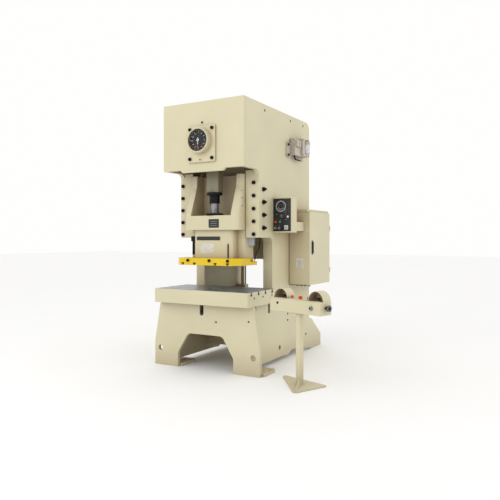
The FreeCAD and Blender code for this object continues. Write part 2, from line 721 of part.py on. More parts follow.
def bolster_bolts():
    """Hold-down bolts in the bed's open pockets, heads on the pockets' floors."""
    made = []
    for side, sign in SIDES:
        for number, depth in enumerate(BOLSTER_BOLTS_AT):
            place = (f"{sign} * (half_frame - side_plate / 2)", behind(depth))
            made.append(bolster_bolt(f"bolster_bolt_{side}_{number}", place, "bed_top - 105 - 21 + 19"))
    made.append(bolster_bolt("bolster_bolt_front", ("-40", "bed_front + bed_plate / 2"), "bed_top - 100"))
    return group("bolster_bolts", *made)


def bolster_bolt(name, place, low):
    shank = rod(name + "_shank", "Z", place, (low, "bed_top"), "11")
    head = hexagon(name + "_head", "Z", place, (low, f"{low} + 20"), "19")
    return join(name, shank, head)


# ---------------------------------------------------------------- crank drive

def ring(name, axis, centre, span, outer, inner):
    """A plain ring or bush."""
    body = rod(name + "_body", axis, centre, span, outer)
    bore = rod(name + "_bore", axis, centre, (f"{span[0]} - 1", f"{span[1]} + 1"), inner)
    return cut(name, body, bore)


def bearings():
    """Bushed hubs of the crankshaft and of the pinion shaft, pressed into the walls."""
    crank, pinion = ("0", "crank_height"), ("0", "pinion_height")
    journal, small = "journal + running", "pinion_journal + running"
    return group(
        "main_bearings",
        ring("front_bearing", "Y", crank, ("crown_front", behind("-165")), "hub_radius", journal),
        ring("middle_bearing", "Y", crank, (behind("back_plate_at - 15"), behind("back_plate_at + 90")),
             "hub_radius", journal),
        ring("rear_bearing", "Y", crank, (behind("bearing_wall_at - 50"), behind("bearing_wall_at + 60")),
             "hub_radius", journal),
        ring("pinion_front_bearing", "Y", pinion, (behind("back_plate_at"), behind("back_plate_at + 85")),
             "pinion_hub", small),
        ring("pinion_rear_bearing", "Y", pinion,
             (behind("bearing_wall_at - 40"), behind("bearing_wall_at + 70")),
             "pinion_hub", small))


def crankshaft():
    """Main journals with one wide eccentric, and a thin spindle to the dial."""
    axis = ("0", "crank_height")
    shaft = rod("crank_journals", "Y", axis, ("crown_front + 20", behind("bearing_wall_at + 80")), "journal")
    throw = rod("crank_eccentric", "Y", ("0", "eccentric_height"), ("press_axis - 75", "press_axis + 75"),
                "eccentric")
    spindle = rod("crank_spindle", "Y", axis, ("dial_front + 14", "crown_front + 21"), "9")
    return join("crankshaft", shaft, throw, spindle)


def strap():
    """The rod's big end round the eccentric, split and bolted at its middle."""
    axis = ("0", "eccentric_height")
    span = ("press_axis - strap_width / 2", "press_axis + strap_width / 2")
    body = rod("strap_body", "Y", axis, span, "strap_radius")
    ears = box("strap_ears", ("-strap_radius - 28", "strap_radius + 28"), span,
               ("eccentric_height - 35", "eccentric_height + 35"))
    bore = rod("strap_bore", "Y", axis, (f"{span[0]} - 1", f"{span[1]} + 1"), "eccentric + running")
    return cut("rod_strap", join("strap_blank", body, ears), bore)


def toothed(name, teeth, width, bore, phase):
    """A spur gear blank with straight-flanked teeth, centred on its own axis, facing +Y from y = 0."""
    module, count = amount("gear_module"), int(amount(teeth))
    pitch = module * count / 2
    step = 2 * math.pi / count
    corners = []
    for tooth in range(count):
        middle = tooth * step + math.radians(phase)
        for radius, side in ((pitch - 1.2 * module, -0.29), (pitch + 0.8 * module, -0.11),
                             (pitch + 0.8 * module, 0.11), (pitch - 1.2 * module, 0.29)):
            angle = middle + side * step
            corners.append(Vector(radius * math.cos(angle), 0, radius * math.sin(angle)))
    face = Part.Face(Part.makePolygon(corners + corners[:1]))
    blank = face.extrude(Vector(0, amount(width), 0))
    hole = Part.makeCylinder(amount(bore), amount(width) + 2, Vector(0, -1, 0), Vector(0, 1, 0))
    return modelled(name, blank.cut(hole))


def main_gear():
    """The bull gear on the crankshaft, lightened between hub and rim, a tooth gap facing down."""
    half_step = 180 / amount("gear_teeth")
    gear = toothed("gear_blank", "gear_teeth", "gear_width", "journal", -90 + half_step)
    put(gear, "0", behind("gear_front"), "crank_height")
    rim, hub = "gear_pitch - 60", "journal + 50"
    recesses = []
    for side, span in (("front", ("gear_front - 1", "gear_front + 25")),
                       ("rear", ("gear_front + gear_width - 25", "gear_front + gear_width + 1"))):
        recesses.append(ring(f"gear_{side}_recess", "Y", ("0", "crank_height"),
                             (behind(span[0]), behind(span[1])), rim, hub))
    return cut("main_gear", gear, *recesses)


def pinion_shaft():
    """The shaft that carries the pinion, the flywheel's seat and the clutch drum."""
    axis = ("0", "pinion_height")
    teeth = toothed("pinion_teeth_ring", "pinion_teeth", "gear_width + 10", "pinion_journal - 5", 90)
    put(teeth, "0", behind("gear_front - 5"), "pinion_height")
    shaft = rod("pinion_journals", "Y", axis, (behind("back_plate_at - 5"), behind("870")), "pinion_journal")
    drum = rod("clutch_drum", "Y", axis, (behind("800"), behind("860")), "200")
    hub = rod("clutch_hub", "Y", axis, (behind("785"), behind("885")), "95")
    return join("pinion_shaft", teeth, shaft, drum, hub)


def belt_grooves(rim):
    """The four V-grooves of a wheel's rim, from its rear face to its front face."""
    profile = []
    for number in range(4, 0, -1):
        rear = behind(f"flywheel_at + 20 + {number} * 22")
        front = behind(f"flywheel_at + 6 + {number} * 22")
        profile += [(rear, rim), (f"{rear} - 4", f"{rim} - 10"), (f"{front} + 4", f"{rim} - 10"),
                    (front, rim)]
    return profile


def flywheel():
    """A heavy rim on a web and a hub, grooved for the belts."""
    rim, width, bore = "flywheel_radius", "flywheel_width", "pinion_journal + running"
    web = f"{width} / 2"
    front = "flywheel_at"

    def at(distance):
        return behind(f"{front} + {distance}")
    profile = [(at("0"), bore), (at(width), bore), (at(width), "90"), (at(f"{web} + 15"), "90"),
               (at(f"{web} + 15"), f"{rim} - 90"), (at(width), f"{rim} - 90"), (at(width), rim)]
    profile += belt_grooves(rim)
    profile += [(at("0"), rim), (at("0"), f"{rim} - 90"), (at(f"{web} - 15"), f"{rim} - 90"),
                (at(f"{web} - 15"), "90"), (at("0"), "90")]
    return turned("flywheel", "Y", ("0", "pinion_height"), profile)


def motor():
    """The drive motor on feet, with a finned body, a fan cowl and a terminal box."""
    axis = ("0", "motor_height")
    start, end = behind("motor_at"), behind("motor_at + motor_length")
    body = rod("motor_body", "Y", axis, (start, end), "motor_radius - 12")
    cowl = rod("motor_cowl", "Y", axis, (f"{end} - 70", f"{end} + 20"), "motor_radius - 4")
    face = rod("motor_face", "Y", axis, (start, f"{start} + 24"), "motor_radius - 2")
    spindle = rod("motor_spindle", "Y", axis, (behind("flywheel_at + 10"), f"{start} + 1"), "motor_shaft")
    feet = box("motor_feet", ("-120", "120"), (f"{start} + 50", f"{end} - 90"),
               ("motor_height - motor_radius - 12", "motor_height - 100"))
    terminals = box("terminal_box", ("100", "190"), (f"{start} + 70", f"{start} + 190"),
                    ("motor_height - 10", "motor_height + 90"))
    fins = []
    for number in range(12):
        ring_at = f"{start} + {40 + 20 * number}"
        fins.append(rod(f"motor_fin_{number}", "Y", axis, (ring_at, f"{ring_at} + 7"), "motor_radius"))
    return join("drive_motor", body, cowl, face, spindle, feet, terminals, *fins)


def pulley():
    front, rear, bore = behind("flywheel_at + 18"), behind("flywheel_at + 118"), "motor_shaft + running"
    profile = [(front, bore), (rear, bore), (rear, "pulley_radius"), *belt_grooves("pulley_radius"),
               (front, "pulley_radius")]
    return turned("motor_pulley", "Y", ("0", "motor_height"), profile)


def loop_face(low, high, gap):
    """The flat outline of a belt run: two circles and their outer tangents, widened by a gap.

    low and high are (height, radius); the wheels stand above each other on x = 0.
    """
    distance = high[0] - low[0]
    lean = math.asin((low[1] - high[1]) / distance)
    corners = []
    for height, radius in (low, high):
        wide = radius + gap
        corners.append(Vector(wide * math.cos(lean), 0, height + wide * math.sin(lean)))
    right = Part.LineSegment(corners[0], corners[1])
    left_ends = [Vector(-corner.x, 0, corner.z) for corner in corners]
    top = Part.Arc(corners[1], Vector(0, 0, high[0] + high[1] + gap), left_ends[1])
    left = Part.LineSegment(left_ends[1], left_ends[0])
    bottom = Part.Arc(left_ends[0], Vector(0, 0, low[0] - low[1] - gap), corners[0])
    return Part.Face(Part.Wire([edge.toShape() for edge in (right, top, left, bottom)]))


def belts():
    """Four V-belts from the motor pulley round the flywheel."""
    low = (amount("pinion_height"), amount("flywheel_radius"))
    high = (amount("motor_height"), amount("pulley_radius"))
    play, thick = amount("guide_play"), amount("belt_thick")
    made = []
    for number in range(1, 5):
        band = loop_face(low, high, thick).cut(loop_face(low, high, play))
        belt = modelled(f"belt_{number}", band.extrude(Vector(0, 14, 0)))
        made.append(put(belt, "0", behind(f"flywheel_at + 20 + {number} * 22 - 14"), "0"))
    return group("drive_belts", *made)


def counterbalance():
    """Two air cylinders on brackets, and their piston rods standing on the slide's wings."""
    outer, bottom = "cylinder_radius", "cylinder_bottom"
    top = "cylinder_bottom + cylinder_length"
    inner = "cylinder_radius - 7"
    cylinders, rods = [], []
    for side, sign in SIDES:
        centre = (f"{sign} * cylinder_half", behind("cylinder_at"))
        tube = rod(f"tube_{side}", "Z", centre, (bottom, top), outer)
        hole = rod(f"tube_hole_{side}", "Z", centre, (f"{bottom} + 15", f"{top} - 15"), inner)
        gland = rod(f"gland_{side}", "Z", centre, (f"{bottom} - 1", f"{bottom} + 16"),
                    "cylinder_rod + running")
        arm = box(f"cylinder_arm_{side}", (f"{centre[0]} - 30", f"{centre[0]} + 30"),
                  (behind("cylinder_at + 40"), behind("back_plate_at")), (f"{bottom} + 60", f"{top} - 60"))
        cylinders.append(cut(f"cylinder_{side}", join(f"cylinder_blank_{side}", tube, arm), hole, gland))
        stem = rod(f"stem_{side}", "Z", centre, ("slide_top", f"{bottom} + 30"), "cylinder_rod")
        piston = rod(f"piston_{side}", "Z", centre, (f"{bottom} + 20", f"{bottom} + 50"),
                     f"{inner} - guide_play")
        rods.append(join(f"counterbalance_rod_{side}", stem, piston))
    return group("counterbalance_cylinders", *cylinders), group("counterbalance_rods", *rods)


# ---------------------------------------------------------------- slide and its suspension

def slide():
    """The cast slide: a wide guided back, a front block over a waist, and two wings beside a deep well."""
    half, rear = "slide_half", "slide_rear"
    wide_back = box("slide_back", (f"-{half}", half), (behind("-10"), rear), ("plate_top", "slide_top"))
    waist = rounded("slide_waist_soft", box(
        "slide_waist_blank", ("-waist_half", "waist_half"), (behind("-waist_reach"), behind("0")),
        ("plate_top", "slide_waist")),
        40, [("waist_half", behind("-waist_reach"), None), ("-waist_half", behind("-waist_reach"), None)])
    block = rounded("slide_block_soft", box(
        "slide_block", (f"-{half}", half), ("slide_front", behind("0")), ("slide_waist", "slide_well")),
        45, [(half, "slide_front", None), (f"-{half}", "slide_front", None)])
    wing = plate("wing_blank", "YZ", ("well_half", half), [
        ("slide_front", "slide_well - wing_foot"), ("slide_front", "slide_well + wing_rise", "60"),
        (behind("-wing_slope_end"), "wing_knee", "70"), (behind("-wing_lean"), "slide_top"),
        (behind("1"), "slide_top"), (behind("1"), "slide_well - wing_foot")])
    soft_wing = rounded("wing", wing, 44, [(half, "slide_front", None)])
    middle = "rail_middle"
    rail = plate("rail_right", "XY", ("rail_bottom", "slide_top"), [
        (f"{half} - 1", f"{middle} - rail_depth / 2"), (half, f"{middle} - rail_depth / 2"),
        (f"{half} + rail_height", f"{middle} - rail_tip / 2"),
        (f"{half} + rail_height", f"{middle} + rail_tip / 2"),
        (half, f"{middle} + rail_depth / 2"), (f"{half} - 1", f"{middle} + rail_depth / 2")])
    casting = join("slide_casting", wide_back, waist, block, soft_wing, flip("wing_left", soft_wing),
                   rail, flip("rail_left", rail))
    axis = ("0", "press_axis")
    tools = [
        box("slide_well_space", ("-well_half", "well_half"), (behind("-20"), behind("100")),
            ("slide_well", "slide_top + 1")),
        rod("ball_bore", "Z", axis, ("ball_height - ball_radius - guide_play", "slide_well + 1"),
            "ball_radius + guide_play"),
        rod("shank_bore", "Z", axis, ("slide_face - 1", "knockout_bottom + 1"), "shank_hole"),
        rod("shank_relief_bore", "Z", axis, ("knockout_bottom - shank_relief", "knockout_bottom + 1"),
            "shank_hole + 5"),
        box("knockout_slot_space", (f"-{half} - 1", "waist_half - 20"),
            ("press_axis - knockout_half", "press_axis + knockout_half"),
            ("knockout_bottom", "knockout_bottom + knockout_slot")),
    ]
    return cut("slide", casting, *tools)


def slide_plate():
    """The plate under the slide: full height in front, thin behind, with cut front corners and T-slots."""
    half, front = "slide_plate_half", behind("-slide_plate_reach")
    nose = [(f"-{half}", f"{front} + slide_plate_chamfer"), (f"slide_plate_chamfer - {half}", front),
            (f"{half} - slide_plate_chamfer", front), (half, f"{front} + slide_plate_chamfer")]
    thin = "slide_face + slide_plate_thin"
    upper = plate("slide_plate_upper", "XY", (f"{thin} - 1", "plate_top"),
                  nose + [(half, behind("-3")), (f"-{half}", behind("-3"))])
    lower = plate("slide_plate_lower", "XY", ("slide_face", thin),
                  nose + [(half, behind("slide_back + 25"), "80"),
                          (f"-{half}", behind("slide_back + 25"), "80")])
    seat = box("slide_plate_seat", ("-slide_half", "slide_half"), (behind("-10"), "slide_rear"),
               (f"{thin} - 1", "plate_top"))
    tools = [rod("shank_through", "Z", ("0", "press_axis"), ("slide_face - 1", "plate_top + 1"),
                 "shank_hole")]
    for side, sign in SIDES:
        for number, offset in enumerate((130, 280)):
            middle = f"{sign} * {offset}"
            reach = (f"{front} - 1", behind("slide_back + 26"))
            tools.append(box(f"slide_neck_{side}_{number}", (f"{middle} - 11", f"{middle} + 11"), reach,
                             ("slide_face - 1", "slide_face + 26")))
            tools.append(box(f"slide_head_{side}_{number}", (f"{middle} - 19", f"{middle} + 19"), reach,
                             ("slide_face + 13", "slide_face + 27")))
    return cut("slide_plate", join("slide_plate_blank", upper, lower, seat), *tools)


def slide_fittings():
    """Screws in the slide plate's edge, the ball's retaining ring and a grease pipe."""
    front = behind("-slide_plate_reach")
    made = []
    for name, x in (("left", "-210"), ("middle", "60"),
                    ("right", "slide_plate_half - slide_plate_chamfer - 30")):
        made.append(cap_screw(f"plate_screw_{name}", "Y", (x, "slide_face + 50"), front, "15", -1))
    retainer = ring("ball_retainer", "Z", ("0", "press_axis"), ("slide_well", "slide_well + 24"), "95",
                    "screw_radius + 1")
    pipe = rod("grease_pipe", "Z", ("waist_half - 45", behind("-waist_reach - 6.1")),
               ("plate_top", "plate_top + 150"), "6")
    return group("slide_fittings", *made, retainer, pipe)


def slide_plates():
    """Two blank plates riveted to the slide's front."""
    face = ("slide_front - 3", "slide_front")
    block = box("rating_plate", ("-22", "106"), face, ("slide_waist + 23", "slide_waist + 114"))
    low = (behind("-waist_reach - 3"), behind("-waist_reach"))
    strip = box("front_strip", ("-203", "97"), low, ("slide_waist - 110", "slide_waist - 70"))
    return group("slide_nameplates", block, strip)


def connecting_rod():
    """The rod's square shank, bored for the adjusting screw."""
    y = ("press_axis - rod_depth / 2", "press_axis + rod_depth / 2")
    shank = box("shank_blank", ("-rod_width / 2", "rod_width / 2"), y, ("rod_bottom", "rod_top"))
    soft = rounded("shank_soft", shank, 8, [("rod_width / 2", y[0], None), ("-rod_width / 2", y[0], None),
                                            ("rod_width / 2", y[1], None), ("-rod_width / 2", y[1], None)])
    bore = rod("screw_bore", "Z", ("0", "press_axis"), ("rod_bottom - 1", "rod_top - 20"),
               "screw_radius + guide_play")
    return cut("connecting_rod", soft, bore)


def lock_nut():
    """The nut and collar that clamp the adjusting screw under the rod."""
    axis = ("0", "press_axis")
    collar = rod("nut_collar", "Z", axis, ("rod_bottom - collar_thick", "rod_bottom"), "collar_radius")
    nut = rod("nut_body", "Z", axis, ("nut_bottom", "rod_bottom - collar_thick"), "nut_radius")
    bore = rod("nut_bore", "Z", axis, ("nut_bottom - 1", "rod_bottom + 1"), "screw_radius + guide_play")
    return cut("lock_nut", join("nut_blank", collar, nut), bore)


def adjusting_screw():
    """The ball screw between the slide and the rod."""
    axis = ("0", "press_axis")
    stem = rod("screw_stem", "Z", axis, ("ball_height + 30", "screw_top"), "screw_radius")
    head = ball("screw_ball", "0", "press_axis", "ball_height", "ball_radius")
    return join("adjusting_screw", stem, head)


def knockout():
    """The knock-out bar through the slide, with its hanging rod on the left."""
    play = "guide_play"
    bar = box("knockout_bar_blank", ("40 - slide_half", "waist_half - 30"),
              ("press_axis - knockout_half + 2", "press_axis + knockout_half - 2"),
              (f"knockout_bottom + {play}", "knockout_bottom + knockout_bar"))
    hanger = rod("knockout_rod", "Z", ("60 - slide_half", "press_axis"),
                 ("hanger_bottom", "knockout_bottom + knockout_bar + 2"), "14")
    return join("knockout_bar", bar, hanger)


# ---------------------------------------------------------------- crank angle dial

def dial():
    """Housing, graduated face, glass and pointer at the front end of the crankshaft."""
    axis = ("0", "crank_height")
    middle = "crank_height - 29"
    flange = rounded("dial_flange_soft", box(
        "dial_flange_blank", ("-dial_flange_x / 2", "dial_flange_x / 2"), ("dial_back", "crown_front"),
        (f"{middle} - dial_flange_z / 2", f"{middle} + dial_flange_z / 2")), 12, [
            (f"{sign} * dial_flange_x / 2", None, f"{middle} + {line} * dial_flange_z / 2")
            for sign in (-1, 1) for line in (-1, 1)])
    drum = rod("dial_drum", "Y", axis, ("dial_front", "crown_front - 1"), "dial_radius + dial_rim")
    recess = rod("dial_recess", "Y", axis, ("dial_front - 1", "dial_front + 26"), "dial_radius")
    shaft_hole = rod("dial_shaft_hole", "Y", axis, ("dial_front + 25", "crown_front + 1"), "12")
    housing = cut("dial_housing", join("dial_blank", flange, drum), recess, shaft_hole)
    face = ring("dial_face", "Y", axis, ("dial_front + 21", "dial_front + 26"), "dial_radius", "12")
    glass = rod("dial_glass", "Y", axis, ("dial_front + 1", "dial_front + 4"), "dial_radius")
    hand = box("pointer_hand", ("-4", "4"), ("dial_front + 10", "dial_front + 14"),
               ("crank_height - 88", "crank_height + 26"))
    boss = rod("pointer_boss", "Y", axis, ("dial_front + 8", "dial_front + 14"), "15")
    return housing, face, glass, join("dial_pointer", hand, boss)


# ---------------------------------------------------------------- control panel and cabinet

def panel_box():
    """The operator's panel on the right side plate, open in front behind its black plate."""
    x = ("half_frame", "half_frame + panel_width")
    y = ("panel_front", "panel_front + panel_depth")
    z = ("panel_bottom", "panel_bottom + panel_height")
    blank = rounded("panel_soft", box("panel_blank", x, y, z), 12, [(x[1], y[0], None)])
    recess = box("panel_recess", (f"{x[0]} + panel_border - 6", f"{x[1]} - panel_border"),
                 (f"{y[0]} - 1", f"{y[0]} + 60"), (f"{z[0]} + panel_border", f"{z[1]} - panel_border"))
    box_part = group("control_panel_box", cut("panel_shell", blank, recess), duct())
    face = box("panel_face_blank", (f"{x[0]} + panel_border - 6", f"{x[1]} - panel_border"),
               (f"{y[0]} + 4", f"{y[0]} + 10"), (f"{z[0]} + panel_border", f"{z[1]} - panel_border"))
    holes = []
    for name, across, up, radius in PANEL_CONTROLS:
        holes.append(rod(f"panel_hole_{name}", "Y", (f"half_frame + {across}", f"panel_bottom + {up}"),
                         (f"{y[0]} + 3", f"{y[0]} + 11"), f"{radius} - 3"))
    return box_part, cut("panel_face", face, *holes)


# control, distance from the side plate, height over the box's lower edge, radius of its cap
PANEL_CONTROLS = [
    ("stop_button", 43, 113, 12),
    ("start_button", 96, 115, 12),
    ("left_selector", 38, 49, 14),
    ("right_selector", 84, 49, 14),
    ("key_switch", 163, 55, 15),
]


def panel_controls():
    """Caps of the panel's buttons and selectors, each on a stem through the black plate."""
    made = []
    face = "panel_front + 4"
    for name, across, up, radius in PANEL_CONTROLS:
        axis = (f"half_frame + {across}", f"panel_bottom + {up}")
        stem = rod(name + "_stem", "Y", axis, (f"{face} - 4", f"{face} + 30"), f"{radius} - 3.3")
        cap = rod(name + "_cap", "Y", axis, (f"{face} - 16", f"{face} - 4"), f"{radius}")
        parts = [stem, cap]
        if name.endswith(("selector", "switch")):
            parts.append(box(name + "_grip", (f"{axis[0]} - 3.5", f"{axis[0]} + 3.5"),
                             (f"{face} - 28", f"{face} - 15"),
                             (f"{axis[1]} - {radius - 1}", f"{axis[1]} + {radius - 1}")))
        made.append(join(name, *parts))
    return made


def cabinet():
    """The sheet-metal electrical cabinet, open on the outer side behind its door."""
    x = ("half_frame", "cabinet_side")
    y = ("cabinet_front", "cabinet_front + cabinet_depth")
    z = ("cabinet_bottom", "cabinet_top")
    wall = "cabinet_wall"
    shell = box("cabinet_blank", x, y, (z[0], f"{z[1]} - cabinet_cap"))
    cap = box("cabinet_cap_blank", x, (f"{y[0]} - 6", f"{y[1]} + 6"), (f"{z[1]} - cabinet_cap - 1", z[1]))
    space = box("cabinet_space", (f"{x[0]} + 2 * {wall}", f"{x[1]} + 1"),
                (f"{y[0]} + {wall}", f"{y[1]} - {wall}"),
                (f"{z[0]} + {wall}", f"{z[1]} - cabinet_cap - {wall}"))
    shelf = box("cabinet_rail", (f"{x[0]} + 2 * {wall} - 1", f"{x[0]} + 30"),
                (f"{y[0]} + 60", f"{y[1]} - 60"), (f"{z[0]} + 380", f"{z[0]} + 415"))
    return join("electrical_cabinet", cut("cabinet_shell", join("cabinet_outer", shell, cap), space), shelf)


def cabinet_door():
    """The door with its folded edge, and the swing handle in its recess."""
    x = ("cabinet_side + guide_play", "cabinet_side + guide_play + door_thick")
    y = ("cabinet_front + 2", "cabinet_front + cabinet_depth - 2")
    z = ("cabinet_bottom + 2", "cabinet_top - cabinet_cap - 2")
    blank = rounded("door_soft", box("door_blank", x, y, z), 6, [
        (x[1], y[0], None), (x[1], y[1], None), (x[1], None, z[0]), (x[1], None, z[1])])
    hollow = box("door_hollow", (f"{x[0]} - 1", f"{x[1]} - 3"), (f"{y[0]} + 3", f"{y[1]} - 3"),
                 (f"{z[0]} + 3", f"{z[1]} - 3"))
    hinge_line = []
    for number, up in enumerate((120, 620)):
        hinge_line.append(rod(f"door_hinge_{number}", "Z", (f"{x[1]} + 1", f"{y[1]} + 1"),
                              (f"{z[0]} + {up}", f"{z[0]} + {up + 60}"), "6"))
    hole = rod("door_handle_hole", "X", HANDLE_AXIS, (f"{x[1]} - 5", f"{x[1]} + 1"), "9.3")
    door = cut("cabinet_door", join("door_solid", cut("door_pan", blank, hollow), *hinge_line), hole)
    pivot = rod("handle_pivot", "X", HANDLE_AXIS, (f"{x[1]} - 12", f"{x[1]} + 12"), "9")
    grip = box("handle_lever", (f"{x[1]} + 2", f"{x[1]} + 16"),
               (f"{HANDLE_AXIS[0]} - 13", f"{HANDLE_AXIS[0]} + 13"),
               (f"{HANDLE_AXIS[1]} - 105", f"{HANDLE_AXIS[1]} + 25"))
    lever = rounded("handle_lever_soft", grip, 5, [
        (f"{x[1]} + 16", f"{HANDLE_AXIS[0]} - 13", None), (f"{x[1]} + 16", f"{HANDLE_AXIS[0]} + 13", None)])
    return door, join("door_handle", pivot, lever)


HANDLE_AXIS = ("cabinet_front + 74", "cabinet_bottom + 470")


def duct():
    """The cable duct between the control panel and the cabinet, a square tube."""
    x = ("half_frame + 95", "half_frame + 190")
    y = ("panel_front + panel_depth", "cabinet_front")
    z = ("panel_bottom + 20", "panel_bottom + 120")
    tube = box("duct_blank", x, y, z)
    bore = box("duct_bore", (f"{x[0]} + 3", f"{x[1]} - 3"), (f"{y[0]} - 1", f"{y[1]} + 1"),
               (f"{z[0]} + 3", f"{z[1]} - 3"))
    return cut("cable_duct", tube, bore)


def valve_unit():
    """Bracket, valve body and oil bottle of the air supply, high on the right side plate."""
    side = "half_frame"
    bracket = box("valve_bracket", (side, f"{side} + 10"),
                  (behind("valve_at"), behind("valve_at + valve_length")),
                  ("valve_bottom", "valve_bottom + valve_height"))
    body = box("valve_body", (f"{side} + 9", f"{side} + 70"),
               (behind("valve_at + 100"), behind("valve_at + 290")),
               ("valve_bottom + 30", "valve_bottom + 220"))
    upper = box("valve_upper", (f"{side} + 9", f"{side} + 95"),
                (behind("valve_at + 260"), behind("valve_at + 450")),
                ("valve_bottom + 40", "valve_bottom + 240"))
    axis = (f"{side} + 100", behind("valve_at + 370"))
    bottle = rod("oil_bottle", "Z", axis, ("valve_bottom + 70", "valve_bottom + 210"), "34")
    neck = rod("bottle_neck", "Z", axis, ("valve_bottom + 209", "valve_bottom + 235"), "20")
    screws = [rod(f"bracket_screw_{number}", "X", (behind("valve_at + 29"), f"valve_bottom + {up}"),
                  (f"{side} + 9", f"{side} + 22"), "13") for number, up in enumerate((24, 143))]
    return join("valve_unit", bracket, body, upper, bottle, neck, *screws)


def service_pipes():
    """Vertical conduits at the left rear of the open back, from a box on the bed up into the crown."""
    x, y = "-plate_inner + 62", "rear_plane - 110"
    foot = box("pipe_foot", ("-plate_inner", f"{x} + 60"), (f"{y} - 45", f"{y} + 45"),
               ("bed_top", "bed_top + 90"))
    pipes = [rod("conduit_wide", "Z", (x, y), ("bed_top + 89", "conduit_top"), "21"),
             rod("conduit_thin", "Z", (f"{x} + 42", y), ("bed_top + 89", "conduit_top"), "11")]
    saddle = box("pipe_saddle", ("-plate_inner", f"{x} + 58"), (f"{y} - 26", f"{y} + 12"),
                 ("conduit_top - 100", "conduit_top - 76"))
    return join("service_pipes", foot, *pipes, saddle)


# The blow-off hose's centre line, from its socket under the right gib to the nozzle beside the slide plate:
# distance from the centre plane, depth behind the cheek plane, height
HOSE_ROUTE = [(418, 178, 1392), (418, 178, 1356), (421, 168, 1320), (425, 147, 1289), (429, 116, 1262),
              (432, 84, 1239), (436, 55, 1209), (439, 30, 1172)]
HOSE_RADIUS = 7


def fillet_path(points):
    """Straight runs joined by tangent arcs, each as large as its two runs allow."""
    edges, here = [], points[0]
    for before, corner, after in zip(points, points[1:], points[2:]):
        run_in, run_out = corner - before, after - corner
        turn = run_in.getAngle(run_out)
        reach = 0.45 * min(run_in.Length, run_out.Length)
        radius = reach / math.tan(turn / 2)
        print(f"hose bend radius {radius:.0f} mm")
        first = corner - run_in.normalize() * reach
        last = corner + run_out.normalize() * reach
        inward = (last - corner).normalize() + (first - corner).normalize()
        away = radius / math.cos(turn / 2) - radius
        middle = corner + inward.normalize() * away
        edges.append(Part.LineSegment(here, first).toShape())
        edges.append(Part.Arc(first, middle, last).toShape())
        here = last
    edges.append(Part.LineSegment(here, points[-1]).toShape())
    return Part.Wire(edges)


def hose():
    """The flexible blow-off hose and, in a node of its own, its socket and nozzle."""
    cheek = amount("cheek_plane")
    points = [Vector(x, cheek + depth, z) for x, depth, z in HOSE_ROUTE]
    path = fillet_path(points)
    length = path.Length
    start = Part.Wire(Part.makeCircle(HOSE_RADIUS, points[0], points[1] - points[0]))
    solid = path.makePipeShell([start], True, False)
    expected = math.pi * HOSE_RADIUS ** 2 * length
    print(f"hose length {length:.0f} mm, volume {solid.Volume:.0f}, expected {expected:.0f}")
    tube = modelled("blow_hose", solid)
    tip = points[-1]
    heading = (points[-1] - points[-2]).normalize()
    nozzle = Part.makeCone(HOSE_RADIUS + 1, 3.5, 34, tip, heading)
    nozzle = nozzle.fuse(Part.makeCylinder(HOSE_RADIUS + 2, 8, tip, heading))
    socket = Part.makeCylinder(HOSE_RADIUS + 4, amount("gib_bottom") - points[0].z, points[0],
                               Vector(0, 0, 1))
    return tube, modelled("hose_fittings", Part.makeCompound([nozzle, socket]))


# ---------------------------------------------------------------- control stand

def on_stand(item):
    """Place a piece that is made about the stand's own axis."""
    item.Placement.Rotation = Rotation(Vector(0, 0, 1), 0)
    item.setExpression("Placement.Rotation.Angle", formula("stand_turn"))
    return put(item, "stand_x", "cheek_plane - stand_reach", "0")


def stand():
    """The three-cornered foot, the column with its top flange and a folded rib."""
    foot = plate("foot_plate", "XY", ("0", "12"), [
        ("-368", "133", "25"), ("177", "-268", "30"), ("217", "146", "25")])
    half = "column_half"
    blank = box("column_blank", (f"-{half}", half), (f"-{half}", half), ("12", "console_bottom - 10"))
    tube = rounded("column_soft", blank,
                   6, [(f"{a} * {half}", f"{b} * {half}", None) for a in (-1, 1) for b in (-1, 1)])
    bore = box("column_bore", (f"3 - {half}", f"{half} - 3"), (f"3 - {half}", f"{half} - 3"),
               ("11", "console_bottom - 9"))
    flange = box("column_flange", ("-70", "70"), ("-50", "50"), ("console_bottom - 10", "console_bottom"))
    column = cut("column_tube", tube, bore)
    return on_stand(group("control_stand", join("stand_welded", foot, column, flange)))


def guard(name, centre, low):
    """An arched sheet hood over a palm button, closed at its back."""
    y = ("-28", "console_depth / 2 - 2")
    outer = rod(name + "_outer", "Y", (centre, low), y, "guard_radius")
    inner = rod(name + "_inner", "Y", (centre, low), (f"{y[0]} - 1", f"{y[1]} - guard_wall"),
                "guard_radius - guard_wall")
    below = box(name + "_below", (f"{centre} - 200", f"{centre} + 200"), (f"{y[0]} - 2", f"{y[1]} + 2"),
                (f"{low} - 200", f"{low} - 2"))
    return cut(name, outer, inner, below)


